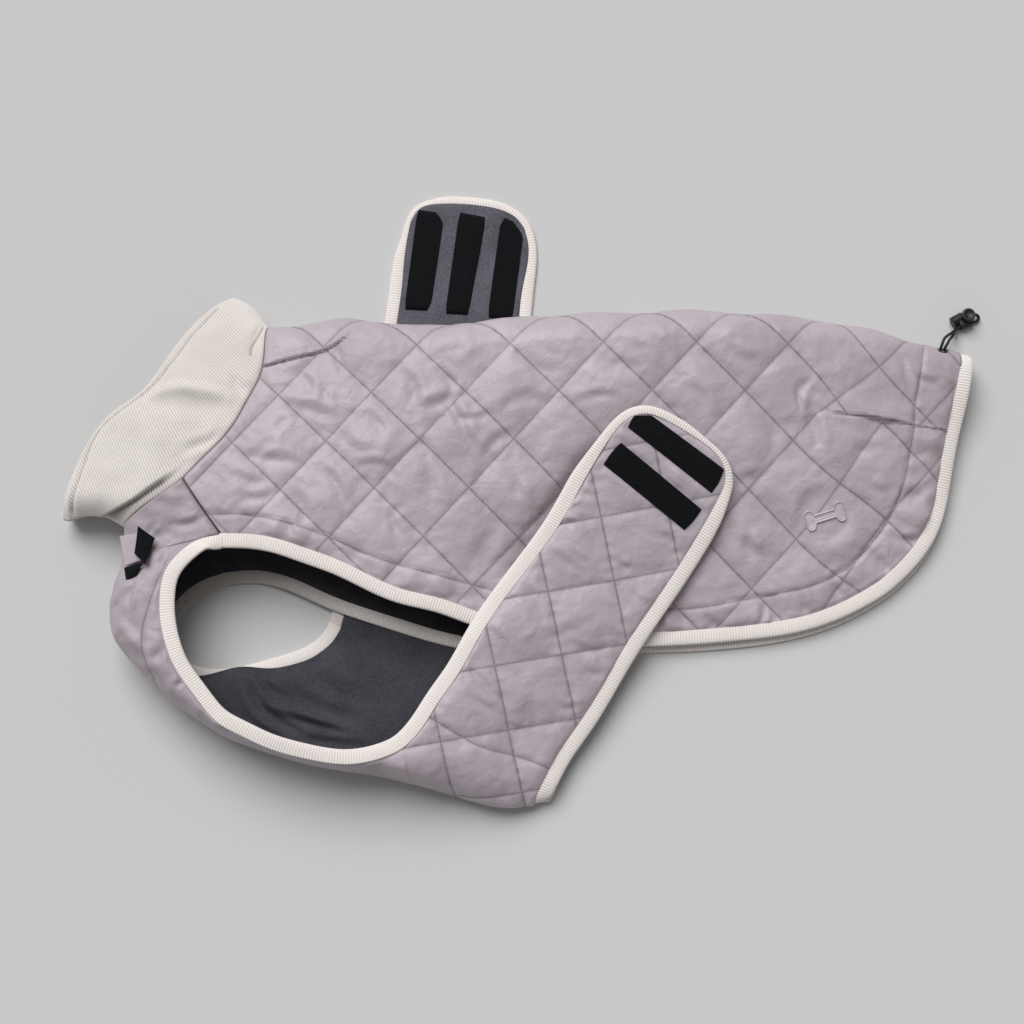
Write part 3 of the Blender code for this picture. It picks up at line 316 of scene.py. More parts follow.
def by_x(table, column):
    """A table's column as a smooth function of its first one, x."""
    xs, ys = np.array(table, float)[:, [0, column]].T
    span = xs[-1] - xs[0]
    fit = curve(ys[:, None], knots=(xs - xs[0]) / span)
    return lambda x: fit((np.asarray(x, float) - xs[0]) / span)[..., 0]


ridge_outline, ridge_height = by_x(RIDGE, 1), by_x(RIDGE, 2)
LOWER_EDGE = NEAR_SHOULDER[:2] + NEAR_HEM + NEAR_TAIL[5:0:-1]
lower_y, lower_z = by_x(LOWER_EDGE, 1), by_x(LOWER_EDGE, 2)


def unit(vectors):
    """Vectors divided by their lengths."""
    return vectors / norm(vectors, axis=-1, keepdims=True)


def smooth_step(x):
    """0 up to 0, 1 from 1 on, and between them three squares less two cubes."""
    x = np.clip(x, 0.0, 1.0)
    return x * x * (3.0 - 2.0 * x)


def near_height(x, y):
    """Height of the near flank's middle: from the spine fold it slopes down to the
    lower edge, half straight and half rounded, and swells a little between them.
    Past the lower edge the value goes on falling."""
    top, low = ridge_height(x), lower_z(x)
    fold_y = ridge_outline(x) - RIDGE_ROLL * top
    run = np.maximum(fold_y - lower_y(x), 30.0)
    f = np.clip((fold_y - y) / run, 0.0, 1.0)
    share = 0.6 * (1.0 - f) + 0.2 * (1.0 + np.cos(pi * f))
    past = np.maximum((fold_y - y) - run, 0.0)
    swell = FLANK_SWELL * np.minimum(run / 200.0, 1.0) * np.sin(pi * f)
    return low + (top - low) * share + swell - 0.35 * past - valley(x, y)


def valley(x, y):
    """Depth of the dip along the near wing's left edge: a bell across a straight line."""
    (x0, y0), (x1, y1) = VALLEY
    length = math.dist(*VALLEY)
    ahead = ((x1 - x0) / length, (y1 - y0) / length)
    along = (x - x0) * ahead[0] + (y - y0) * ahead[1]
    away = (x - x0) * ahead[1] - (y - y0) * ahead[0]
    fade = smooth_step((along + 12.0) / 24.0) * smooth_step((length + 12.0 - along) / 24.0)
    return VALLEY_DEPTH * np.exp(-(away / VALLEY_WIDTH) ** 2) * fade


def far_height(x, y):
    """Height of the far flank's middle: on the surface, raised where it crosses the
    far wing, with a soft step on each side of it."""
    (y0, left0, right0), (y1, left1, right1) = FAR_WING_SIDES
    f = (y - y0) / (y1 - y0)
    left = left0 + (left1 - left0) * f
    right = right0 + (right1 - right0) * f
    on_wing = smooth_step((x - left + STEP_CLEAR + STEP_RUN) / STEP_RUN)
    on_wing = on_wing * smooth_step((right + STEP_CLEAR + STEP_RUN - x) / STEP_RUN)
    return SHELL / 2 + FAR_STEP * on_wing


def with_height(xy, height):
    """Plan points with their height from a function of x and y."""
    return np.concatenate([xy, height(xy[..., 0], xy[..., 1])[..., None]], axis=-1)


def spread(count, power=1.0):
    """Shares 0..1, drawn towards 0 where the power is above 1."""
    return np.linspace(0.0, 1.0, count + 1) ** power


# ---- back panel surface
def lower_edge(shoulder, hem):
    """The panel's lower edge as one curve, its corner at SHOULDER_SHARE on both sides."""
    points, corner = joined(shoulder, hem)
    plan = np.array([p[:2] for p in points], float)
    chord = run_along(plan)
    front = chord[:corner] / chord[corner] * SHOULDER_SHARE
    rest = (chord[corner:] - chord[corner]) / (chord[-1] - chord[corner])
    knots = np.concatenate([front, SHOULDER_SHARE + (1.0 - SHOULDER_SHARE) * rest])
    return curve(plan, knots, (corner,))


near_bottom = lower_edge(NEAR_SHOULDER, NEAR_HEM)
near_tail = curve([p[:2] for p in NEAR_TAIL])
near_neck = curve([p[:2] for p in NEAR_NECK])
far_bottom = lower_edge(FAR_SHOULDER, FAR_HEM)
far_tail = curve(FAR_TAIL)
far_neck = curve(FAR_NECK)


def fold_line(s):
    """Plan line where the near layer starts to turn over the spine."""
    x = RIDGE[0][0] + (NEAR_TAIL[0][0] - RIDGE[0][0]) * np.asarray(s, float)
    return np.stack([x, ridge_outline(x) - RIDGE_ROLL * ridge_height(x)], axis=-1)


def back_near(u, v):
    """Near flank: u from neck to tail, v from the spine fold to the lower edge."""
    plan = coons(fold_line, near_bottom, near_neck, near_tail, u, v)
    return with_height(plan, near_height)


def back_far(u, v):
    """Far flank: u from neck to tail, v from the spine fold to the lower edge."""
    plan = coons(fold_line, far_bottom, far_neck, far_tail, u, v)
    return with_height(plan, far_height)


def back_fold(u, turn):
    """Spine fold: half an ellipse from the far layer (turn 0) to the near one (1)."""
    plan = fold_line(u)
    top = near_height(plan[:, 0], plan[:, 1])[:, None]
    low = far_height(plan[:, 0], plan[:, 1])[:, None]
    reach = RIDGE_ROLL * ridge_height(plan[:, 0])[:, None]
    angle = pi * turn[None]
    x = np.repeat(plan[:, :1], len(turn), axis=1)
    y = plan[:, 1:] + reach * np.sin(angle)
    z = (top + low) / 2 - (top - low) / 2 * np.cos(angle)
    return np.stack([x, y, z], axis=-1)


def back_grid(length, far_side, turn, near_side):
    """The whole back panel, from the far lower edge over the spine to the near one."""
    far = back_far(*crossed(length, far_side))[:, ::-1]
    near = back_near(*crossed(length, near_side))
    fold = back_fold(length, turn)
    return np.concatenate([far[:, :-1], fold, near[:, 1:]], axis=1)


# ---- belly panel surface
row_knots = np.linspace(0.0, 1.0, len(CHEST))
chest_rows, belly_rows = np.array(CHEST, float), np.array(BELLY, float)
chest_rows[:SHOULDER_ROW + 1, :2] += SHOULDER_GAP
chest_rows[:SHOULDER_ROW + 1, 6:] += SHOULDER_GAP
chest_near = curve(chest_rows[:, :3], row_knots, (SHOULDER_ROW,))
chest_side = curve(chest_rows[:, 3:6], row_knots)
chest_far = curve(chest_rows[:, 6:], row_knots, (SHOULDER_ROW,))
belly_top, belly_side = curve(belly_rows[:, :3]), curve(belly_rows[:, 3:6])

wing_left = curve(WING_LEFT)
wing_tip = curve(WING_TIP)
wing_right = curve(WING_RIGHT)
far_wing_tip = curve(FAR_WING_TIP)
far_wing_right = curve(FAR_WING_RIGHT)


def on_surface(plan):
    """Plan points lying on the surface, at the middle of the shell's thickness."""
    return np.concatenate([plan, np.full(plan.shape[:-1] + (1,), SHELL / 2)], axis=-1)


def turn_under(top, side, under, share):
    """Two quarter ellipses: from the near layer out and down to the side, then back
    under to the surface; share runs 0..1 over both."""
    first = np.clip(share * 2.0, 0.0, 1.0)[None, :, None] * pi / 2
    second = np.clip(share * 2.0 - 1.0, 0.0, 1.0)[None, :, None] * pi / 2
    top, side, under = top[:, None], side[:, None], under[:, None]
    out = side - top
    xy = top[..., :2] + out[..., :2] * np.sin(first)
    xy = xy + (under - side)[..., :2] * (1.0 - np.cos(second))
    z = side[..., 2:] - out[..., 2:] * np.cos(first)
    z = np.where(second > 0, side[..., 2:] - (side - under)[..., 2:] * np.sin(second), z)
    return np.concatenate([xy, z], axis=-1)


def chest_under(rows):
    """Where the far half reaches the surface, a set distance in from the side."""
    side = chest_side(rows)[..., :2]
    away = chest_far(rows) - side
    reach = norm(away, axis=-1, keepdims=True)
    return on_surface(side + away * np.minimum(ROLL_UNDER / reach, 0.65))


belly_start = tuple(chest_under(1.0)[:2])
belly_under = curve([belly_start, *belly_rows[1:, 6:]])
far_wing_left = curve([belly_start] + FAR_WING_LEFT, corners=(1,))


def chest_grid(rows, turn, flat):
    """Chest strip: for each row, over the side and under it, then flat to the far edge."""
    near, side, far = chest_near(rows), chest_side(rows), on_surface(chest_far(rows))
    under = chest_under(rows)
    over = turn_under(near, side, under, turn)
    rest = under[:, None] + (far - under)[:, None] * flat[None, 1:, None]
    return np.concatenate([over, rest], axis=1)


def clear_of_flank(points):
    """Raises wing points softly to lie on the near flank where they would sink in it."""
    x, y = points[..., 0], points[..., 1]
    floor = near_height(x, y) + valley(x, y) + WING_LIFT
    z = points[..., 2]
    lifted = 0.5 * (z + floor + np.sqrt((z - floor) ** 2 + 9.0))
    return np.concatenate([points[..., :2], lifted[..., None]], axis=-1)


def near_wing(u, v):
    """Near wing: u from its left edge to its right one, v from the belly to the tip."""
    plain = coons(belly_top, wing_tip, wing_left, wing_right, u, v)
    lying = clear_of_flank(plain)
    return plain + (lying - plain) * smooth_step(v * 4.0)[..., None]


def far_wing(u, v):
    """Far wing: u from its left edge to its right one, v from the belly to the tip."""
    return on_surface(coons(belly_under, far_wing_tip, far_wing_left, far_wing_right, u, v))


def far_wing_shares(flat, cells):
    """Shares along the far wing: the chest strip's own up to the leg hole's corner, then
    even ones to the tip."""
    stops = np.array([belly_start] + FAR_WING_LEFT, float)
    lengths = norm(np.diff(stops, axis=0), axis=1)
    corner = lengths[0] / lengths.sum()
    return np.concatenate([flat * corner, corner + (1 - corner) * spread(cells)[1:]])


def wing_grid(across, along, turn, far_along):
    """Both wings and the belly between them, from the near tip to the far one."""
    near = near_wing(*crossed(across, along))[:, ::-1]
    under = on_surface(belly_under(across))
    over = turn_under(belly_top(across), belly_side(across), under, turn)
    far = far_wing(*crossed(across, far_along))
    return np.concatenate([near[:, :-1], over, far[:, 1:]], axis=1)


# ---- sewing
# Where the quilting, seams, darts and creases run: plan places on the near side, and on
# the back panel, past the spine, the distance measured on over the cloth.
QUILT_SPACING = 47.0   # between neighbouring quilting lines
QUILT_COLUMN = 32.8    # half a diamond's width along the back
QUILT_ROW = 33.9       # half its height
QUILT_ORIGIN = (1.91, 3.327)
QUILT_SKEW = (0.0012, 0.0004)
DART_LOSS = 0.45       # rows lost above the tail dart, and gained below it
DART_START, DART_REACH = 205.0, 70.0
WING_SPACING = 45.0
WING_QUILT = ((-1.24, 0.02074, 0.00452), (-0.476, 0.00449, -0.02236))
NECK_DART = [
    (-176, 98), (-163, 100.5), (-149, 104), (-141, 106), (-132, 109), (-120, 116), (-107, 125),
]
TAIL_DART = [(318, 60), (286, 62), (262, 65.5), (235, 68), (224, 69), (214, 68)]
LINE_WIDTH, LINE_DEPTH = 2.3, 0.42   # how far a seam's shade reaches, and how dark it is
# The same for the painted shade in a dart's fold.
DART_WIDTH, DART_DEPTH = 1.8, 1.0
WING_LOOSE = 0.7       # how slack the wings' cloth is, next to the flank's
PLAIN_SHADE_DEPTH = 0.24     # painted shade: how much darker the satin is where it isn't quilted, on the chest strip
CASING = [
    (-211, -9), (-199, -8), (-181, -9), (-161, -13), (-125, -25), (-98, -37), (-72, -45),
    (-36, -54), (-5, -61), (34, -65), (76, -68), (116, -69), (153, -64), (195, -56),
    (235, -41), (255, -22), (270, 0), (279, 26), (285, 55), (288, 81), (292, 102), (295, 120),
]
BELLY_SEAM = [(-84, -126), (-56, -149), (-39, -159), (-18, -169), (1, -173), (34, -185)]

# Soft folds: x and y of their start, middle and end, half width, depth, and the height of
# the ridge beside them.
FLANK_CREASES = [
    (-81, 95, -70, 83, -69, 63, 4.2, 0.9, 0.5), (-50, 91, -42, 82, -46, 73, 3.2, 0.9, 0.5),
    (-48, 74, -40, 65, -33, 53, 3.4, 0.9, 0.5), (-132, 81, -131, 76, -129, 70, 3.0, 0.7, 0.4),
    (-162, 69, -144, 66, -123, 57, 4.2, 0.8, 0.5), (-157, 60, -161, 55, -166, 51, 3.0, 0.7, 0.4),
    (-168, 42, -177, 36, -186, 29, 3.4, 0.8, 0.5), (-186, 31, -167, 30, -150, 27, 3.8, 0.9, 0.5),
    (-133, 23, -124, 15, -118, -1, 3.6, 1.0, 0.6), (-120, 51, -112, 39, -95, 34, 4.0, 0.6, 0.4),
    (-108, 24, -95, 26, -83, 23, 3.2, 0.6, 0.4), (-65, 65, -46, 71, -32, 76, 3.8, 0.9, 0.5),
    (-41, 62, -30, 43, -19, 28, 4.2, 1.0, 0.6), (-21, 28, -10, 44, 1, 49, 3.6, 0.8, 0.5),
    (-9, 65, 10, 73, 28, 69, 4.2, 0.7, 0.4), (-39, 116, -37, 110, -37, 104, 3.4, 0.6, 0.4),
    (-125, 112, -123, 107, -121, 101, 3.4, 0.6, 0.3), (-60, 37, -57, 16, -53, 1, 4.6, 0.6, 0.4),
    (-86, -7, -82, -16, -80, -24, 3.2, 0.8, 0.5), (0, 16, 3, 10, 7, 4, 3.4, 0.6, 0.4),
    (-10, -9, -17, -24, -26, -46, 6.0, 1.3, 0.6), (-157, -15, -154, -19, -151, -25, 2.6, 0.8, 0.5),
    (-42, 60, -28, 58, -15, 62, 2.8, 0.7, 0.5), (46, 71, 60, 75, 75, 74, 3.4, 0.8, 0.5),
    (4, 19, 3, 11, 2, 3, 4.6, 0.6, 0.3), (212, 93, 201, 82, 204, 67, 2.6, 0.7, 0.4),
    (208, 68, 214, 54, 215, 41, 4.0, 1.1, 0.6), (205, 88, 212, 83, 219, 77, 3.4, 0.7, 0.4),
    (279, 110, 281, 97, 287, 80, 2.4, 0.8, 0.5), (289, 96, 295, 94, 303, 91, 2.8, 0.8, 0.4),
    (281, 8, 292, 16, 303, 23, 3.8, 0.9, 0.5), (176, -64, 177, -73, 173, -81, 2.8, 1.1, 0.7),
    (226, -49, 229, -54, 233, -60, 3.0, 0.8, 0.5), (257, -30, 263, -36, 267, -44, 3.0, 0.8, 0.5),
    (267, -16, 280, -20, 293, -19, 3.2, 0.9, 0.5), (100, -68, 103, -75, 105, -83, 3.0, 1.0, 0.6),
    (116, -69, 120, -75, 123, -82, 2.8, 0.9, 0.6), (152, -8, 165, -27, 178, -33, 5.0, 0.9, 0.4),
    (166, -10, 166, -21, 168, -34, 3.6, 0.8, 0.4), (136, -71, 140, -77, 146, -84, 2.8, 0.8, 0.5),
    (203, -58, 206, -66, 209, -73, 2.8, 0.7, 0.4), (60, 104, 74, 96, 92, 98, 4.6, 0.6, 0.4),
    (120, 88, 131, 76, 136, 62, 4.4, 0.7, 0.4), (98, 118, 106, 110, 108, 98, 4.0, 0.6, 0.4),
    (150, 112, 160, 103, 176, 101, 4.2, 0.6, 0.4), (176, 60, 184, 48, 182, 34, 4.4, 0.7, 0.4),
    (236, 112, 246, 104, 262, 103, 4.4, 0.5, 0.3), (239, 48, 250, 42, 262, 45, 4.0, 0.6, 0.4),
    (250, 20, 262, 14, 270, 16, 3.8, 0.6, 0.4), (158, 10, 166, 20, 178, 22, 4.2, 0.6, 0.4),
    (10, 104, 18, 95, 33, 92, 4.4, 0.7, 0.4), (-150, 92, -143, 84, -141, 75, 3.6, 0.7, 0.4),
    (-100, 60, -93, 54, -90, 44, 3.6, 0.6, 0.4), (-196, 22, -184, 14, -172, 13, 4.0, 0.8, 0.5),
    (-190, 3, -176, 2, -164, 6, 3.6, 0.9, 0.5), (-152, 8, -146, -2, -146, -12, 3.6, 0.7, 0.4),
    (212, 91, 203, 80, 203, 69, 2.6, 0.8, 0.6),
]
WING_CREASES = [
    (22, -31, 33, -38, 50, -47, 3.4, 0.8, 0.5), (40, -33, 46, -38, 52, -42, 2.8, 0.8, 0.5),
    (72, -39, 78, -43, 84, -44, 2.8, 0.7, 0.5), (34, -10, 39, -6, 52, -2, 2.8, 0.8, 0.6),
    (32, -14, 38, -13, 44, -17, 2.6, 0.8, 0.5), (-29, -135, -22, -139, -15, -145, 3.2, 0.9, 0.6),
    (-31, -117, -22, -122, -13, -138, 3.0, 0.9, 0.6), (-5, -147, 0, -155, 9, -157, 3.6, 0.8, 0.5),
    (-4, -66, 4, -74, 7, -84, 3.0, 0.8, 0.5), (8, -58, 16, -66, 20, -78, 2.8, 0.7, 0.5),
    (44, -97, 52, -101, 64, -99, 3.0, 0.7, 0.5), (50, -112, 57, -116, 64, -114, 2.8, 0.8, 0.5),
    (60, -66, 68, -72, 76, -84, 3.4, 0.6, 0.4), (84, -58, 88, -64, 94, -66, 2.6, 0.8, 0.5),
    (46, 14, 50, 7, 58, 3, 2.6, 0.7, 0.5), (100, -18, 108, -22, 114, -31, 3.0, 0.7, 0.5),
    (20, -92, 34, -90, 46, -82, 3.6, 0.6, 0.4), (-18, -88, -8, -96, -2, -108, 3.2, 0.7, 0.5),
    (4, -120, 12, -128, 16, -142, 3.4, 0.6, 0.4), (28, -136, 36, -140, 46, -138, 2.8, 0.8, 0.5),
]
CHEST_QUILT = 24.0     # how far the wings' quilting goes on into the chest strip
CHEST_LINE = [
    (-239, -42), (-245, -58), (-251, -77), (-254, -93), (-252, -106), (-247, -120), (-242, -131),
]
CHEST_CREASES = [
    (-262, -53, -268, -60, -274, -68, 2.8, -0.9, -0.5),
    (-261, -56, -263, -66, -263, -78, 1.9, 0.9, 0.5),
    (-273, -76, -265, -90, -254, -104, 3.6, -0.7, -0.4),
    (-268, -92, -254, -110, -238, -128, 3.4, 0.7, 0.5),
    (-250, -98, -247, -112, -242, -122, 3.0, -0.6, -0.3),
    (-245, -111, -241, -106, -236, -101, 3.4, 0.9, 0.4),
    (-254, -93, -245, -95, -237, -98, 2.6, -0.5, -0.3),
    (-229, -129, -226, -126, -223, -124, 2.2, 0.9, 0.5),
    (-213, -145, -209, -149, -205, -154, 2.4, 0.9, 0.5),
    (-236, -130, -226, -141, -214, -150, 3.4, 0.6, 0.4),
    (-204, -153, -192, -161, -178, -165, 3.0, 0.7, 0.5),
    (-256, -22, -258, -34, -252, -46, 4.4, 1.0, 0.6),
    (-252, -45, -248, -36, -240, -26, 3.6, -0.9, -0.5),
    (-244, -50, -238, -38, -224, -31, 2.8, 0.9, 0.5),
    (-240, -14, -226, -16, -212, -10, 2.6, 0.8, 0.5),
    (-248, -14, -250, -18, -250, -23, 1.8, 1.0, 0.7),
    (-160, -172, -140, -178, -122, -179, 3.2, 0.7, 0.5),
    (-110, -178, -98, -182, -86, -182, 3.2, 0.7, 0.4),
]
FLEECE_CREASES = [
    (-192, -121, -172, -142, -146, -156, 3.0, 4.4, 3.2),
    (-172, -141, -146, -148, -112, -158, 2.9, 3.6, 2.8),
    (-198, -130, -182, -150, -158, -166, 3.6, 3.4, 2.2),
    (-160, -122, -140, -136, -104, -146, 5.0, 1.8, 1.8),
    (-150, -110, -128, -126, -92, -138, 7.0, 1.0, 1.2),
    (-30, 150, -26, 146, -18, 145, 2.6, 1.6, 1.0), (-70, 146, -58, 142, -44, 146, 5.0, 0.8, 0.6),
    (-110, -86, -84, -100, -60, -130, 9.0, 1.0, 1.0),
    (-150, -160, -128, -162, -100, -166, 3.4, 1.8, 1.8),
    (-186, -118, -170, -128, -156, -132, 3.4, 1.8, 1.4),
]


# ---- arrays and meshes
FLOOR_CLEAR = 0.03
STRIDE = 4               # cells of an outer face to one of its back
PANEL_BACKING = SHELL / 2 - 0.1   # from a panel's middle to its back
FAR_OFF = 50.0           # distance from a seam where there is none


def ripples(x, y, wavelength, seed, count=16):
    """Sum of plane waves in random directions with about that wavelength, mostly -1..1."""
    draw = np.random.default_rng(seed)
    total = np.zeros_like(x)
    for _ in range(count):
        angle, phase = draw.uniform(0.0, 2 * pi, 2)
        k = 2 * pi / (wavelength * draw.uniform(0.75, 1.5))
        total += np.sin(k * (x * math.cos(angle) + y * math.sin(angle)) + phase)
    return total / math.sqrt(count)


def crumple(x, y, wavelength, seed):
    """Sharp ridges between round hollows, 0..1: one less the size of the ripples."""
    return 1.0 - np.minimum(np.abs(ripples(x, y, wavelength, seed)), 1.0)


def beside(points, x, y, reach=60.0):
    """Signed distance of plan places from a smooth line, left of it positive, and the
    distance along it: the nearest of its short straight runs."""
    line = curve(points)(np.linspace(0.0, 1.0, 6 * len(points)))
    start, step = line[:-1], np.diff(line, axis=0)
    size, begun = norm(step, axis=1), run_along(line)
    near = ((x > line[:, 0].min() - reach) & (x < line[:, 0].max() + reach)
            & (y > line[:, 1].min() - reach) & (y < line[:, 1].max() + reach))
    away, along = np.full(x.shape, 1e3), np.zeros(x.shape)
    dx, dy = x[near][:, None] - start[:, 0], y[near][:, None] - start[:, 1]
    t = np.clip((dx * step[:, 0] + dy * step[:, 1]) / size ** 2, 0.0, 1.0)
    gap = np.hypot(dx - t * step[:, 0], dy - t * step[:, 1])
    k = np.argmin(gap, axis=1)
    rows = np.arange(len(k))
    side = np.sign(step[k, 0] * dy[rows, k] - step[k, 1] * dx[rows, k])
    away[near] = gap[rows, k] * np.where(side == 0, 1, side)
    along[near] = begun[k] + t[rows, k] * size[k]
    return away, along, begun[-1]


def creased(table, x, y):
    """Depth of all the creases at plan places: each a bell across its bent line, with a
    lower ridge on its left, and fading towards both ends."""
    total = np.zeros_like(x)
    for *places, width, depth, ridge in table:
        away, along, length = beside(np.reshape(places, (3, 2)), x, y, max(16.0, 2.4 * width))
        fade = np.sin(pi * np.clip(along / length, 0.04, 0.96)) ** 0.7
        hollow = np.exp(-(away / width) ** 2)
        crest = np.exp(-((away - 1.7 * width) / width) ** 2)
        total += (ridge * crest - depth * hollow) * fade
    return total


def runs(grid, axis):
    """Distance of each grid point from the first of its line, along the grid."""
    steps = norm(np.diff(grid, axis=axis), axis=-1)
    total = np.cumsum(steps, axis=axis)
    start = np.zeros_like(np.take(total, [0], axis=axis))
    return np.concatenate([start, total], axis=axis)


def from_end(run, axis):
    """The same distances, measured from the other end of each line."""
    return np.take(run, [-1], axis=axis) - run


def from_sides(run, axis):
    """The same distances, measured from the nearer end of each line."""
    return np.minimum(run, from_end(run, axis))


def from_border(grid):
    """Distance of each grid point from the grid's nearest side, along the grid."""
    return np.minimum(from_sides(runs(grid, 1), 1), from_sides(runs(grid, 0), 0))


def weld(grids):
    """The points of several grids as one list, those that coincide once, with each grid's
    point numbers and the places where the list's points first came."""
    points = np.concatenate([g.reshape(-1, 3) for g in grids])
    keys = np.round(points / 0.05).astype(int)
    _, first, number = np.unique(keys, axis=0, return_index=True, return_inverse=True)
    stops = np.cumsum([g[..., 0].size for g in grids])[:-1]
    parts = np.split(number.ravel(), stops)
    return points[first], [n.reshape(g.shape[:2]) for n, g in zip(parts, grids)], first


def quads(index):
    """Four corners of each cell of a grid of point numbers."""
    return np.stack([index[:-1, :-1], index[:-1, 1:], index[1:, 1:], index[1:, :-1]],
                    axis=-1).reshape(-1, 4)


def safe_unit(vectors):
    """Vectors divided by their lengths; one without length stays as it is."""
    return vectors / np.maximum(norm(vectors, axis=-1, keepdims=True), 1e-12)


def point_normals(points, faces):
    """Mean of the cells' unit normals at each point, from their diagonals."""
    normal = safe_unit(np.cross(points[faces[:, 2]] - points[faces[:, 0]],
                                points[faces[:, 3]] - points[faces[:, 1]]))
    total = np.zeros_like(points)
    for corner in range(4):
        np.add.at(total, faces[:, corner], normal)
    return safe_unit(total)


def grid_normals(grid):
    """Unit normal at each point of a grid."""
    index = np.arange(grid[..., 0].size).reshape(grid.shape[:2])
    return point_normals(grid.reshape(-1, 3), quads(index)).reshape(grid.shape)


def closed_shell(grids, loops, outer, inner):
    """Closed wall: the grids' points moved out by outer, a coarser copy of them, every
    fourth, moved in by inner, and a rim between the two along each loop.  Returns
    points, lists of faces, and where the outer points came from."""
    points, index, first = weld(grids)
    faces = np.concatenate([quads(k) for k in index])
    normals = point_normals(points, faces)
    out = points + normals * np.concatenate([o.ravel() for o in outer])[first][:, None]
    sparse = [k[::STRIDE, ::STRIDE] for k in index]
    used = np.unique(np.concatenate([k.ravel() for k in sparse]))
    back = np.zeros(len(points), int)
    back[used] = np.arange(len(used)) + len(points)
    inside = points[used] - normals[used] * inner
    both = np.concatenate([out, inside])
    both[:, 2] = np.maximum(both[:, 2], FLOOR_CLEAR)
    groups = [faces] + [back[quads(k)][:, ::-1] for k in sparse]
    for loop in loops:
        line = np.concatenate([index[k][take].ravel() for k, take in loop])
        count = len(line) // STRIDE
        ahead = line[(np.arange(count)[:, None] * STRIDE + np.arange(STRIDE + 1)) % len(line)]
        groups.append(np.concatenate([ahead, back[ahead[:, -1:]], back[ahead[:, :1]]], axis=1))
    return both, groups, first


def place(points):
    """The frame's metres from millimetres of the laid-out coat."""
    return (np.asarray(points) - CENTRE) * MM


def in_scene(name, data):
    """A new object of a mesh, curve, lamp or camera, put into the scene."""
    made = bpy.data.objects.new(name, data)
    bpy.context.scene.collection.objects.link(made)
    return made


def add_piece(name, points, groups, look, slot, replaces=(), values=None):
    """Mesh object from points in millimetres and arrays of faces, with named values a
    point for its finish; it rides on the coat's one body."""
    mesh = bpy.data.meshes.new(name)
    faces = [face for group in groups for face in np.asarray(group).tolist()]
    mesh.from_pydata(place(points).tolist(), [], faces)
    for key, data in (values or {}).items():
        kind = "FLOAT" if data.ndim == 1 else "FLOAT_VECTOR"
        layer = mesh.attributes.new(key, kind, "POINT")
        layer.data.foreach_set("value" if data.ndim == 1 else "vector",
                               data.astype(np.float32).ravel())
    mesh.polygons.foreach_set("use_smooth", np.ones(len(mesh.polygons), bool))
    mesh.materials.append(finish(look))
    mesh.update()
    made = in_scene(name, mesh)
    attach(made, "root")
    if replaces:
        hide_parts(*replaces)
    return made


def padded_values(count, **values):
    """Point values of the outer layer, followed by plain ones for the rest of the points:
    on a rib, away from seams, and without tone or quilting."""
    plain = {"rib": 0.85, "seams": FAR_OFF}
    out = {}
    for key, data in values.items():
        full = np.full((count,) + data.shape[1:], plain.get(key, 0.0))
        full[:len(data)] = data
        out[key] = full
    return out


# ---- stitches
STITCH_PITCH = 2.05
STITCH_LENGTH = 1.4
STITCH_WIDTH = 0.52
STITCH_HEIGHT = 0.28


def stitch_places(grid, across, along, keep, pitch):
    """Stitches on a grid: in each cell where the value across passes a whole number and
    the value along a multiple of pitch, by straight proportion within the cell.  Returns
    their middles, directions and normals."""
    a, b = across[:-1, :-1], along[:-1, :-1]
    a_i, a_j = across[1:, :-1] - a, across[:-1, 1:] - a
    b_i, b_j = along[1:, :-1] - b, along[:-1, 1:] - b
    corner, side_i, side_j = grid[:-1, :-1], grid[1:, :-1], grid[:-1, 1:]
    step_i, step_j = side_i - corner, side_j - corner
    low_a = a + np.minimum(a_i, 0) + np.minimum(a_j, 0)
    low_b = b + np.minimum(b_i, 0) + np.minimum(b_j, 0)
    line = np.ceil(low_a)
    area = a_i * b_j - a_j * b_i
    area = np.where(np.abs(area) < 1e-12, 1e-12, area)
    found = []
    for extra in range(3):
        mark = (np.ceil(low_b / pitch) + extra) * pitch
        s = ((line - a) * b_j - (mark - b) * a_j) / area
        t = ((mark - b) * a_i - (line - a) * b_i) / area
        good = (s >= 0) & (s < 1) & (t >= 0) & (t < 1) & keep[:-1, :-1]
        s, t = s[good][:, None], t[good][:, None]
        ahead = step_i[good] * -a_j[good][:, None] + step_j[good] * a_i[good][:, None]
        up = np.cross(step_j[good], step_i[good])
        found.append(np.stack([corner[good] + step_i[good] * s + step_j[good] * t, ahead, up]))
    middle, ahead, up = np.concatenate(found, axis=1)
    return middle, safe_unit(ahead), safe_unit(up)


def stitch_mesh(places, length=STITCH_LENGTH, width=STITCH_WIDTH, height=STITCH_HEIGHT, sunk=0.05):
    """One small spindle a stitch: two points and a ring of four at each third of it."""
    middle, ahead, up = places
    aside = np.cross(up, ahead)
    shape = [(-0.5, 0.0, -0.4)]
    for at in (-0.28, 0.28):
        shape += [(at, 0.5, 0.0), (at, 0.0, 1.0), (at, -0.5, 0.0), (at, 0.0, -1.0)]
    shape = np.array(shape + [(0.5, 0.0, -0.4)]) * (length, width, height)
    points = (middle[:, None] + ahead[:, None] * shape[None, :, :1]
              + aside[:, None] * shape[None, :, 1:2] + up[:, None] * (shape[None, :, 2:] - sunk))
    ends = [[0, 2, 1], [0, 3, 2], [0, 4, 3], [0, 1, 4],
            [9, 5, 6], [9, 6, 7], [9, 7, 8], [9, 8, 5]]
    ring = [[1, 2, 6, 5], [2, 3, 7, 6], [3, 4, 8, 7], [4, 1, 5, 8]]
    starts = np.arange(len(middle))[:, None, None] * len(shape)
    groups = [(np.array(part)[None] + starts).reshape(-1, len(part[0])) for part in (ends, ring)]
    points[..., 2] = np.maximum(points[..., 2], FLOOR_CLEAR)
    return points.reshape(-1, 3), groups


def joined_places(parts):
    """Several sets of stitches as one."""
    return [np.concatenate(column) for column in zip(*parts)]


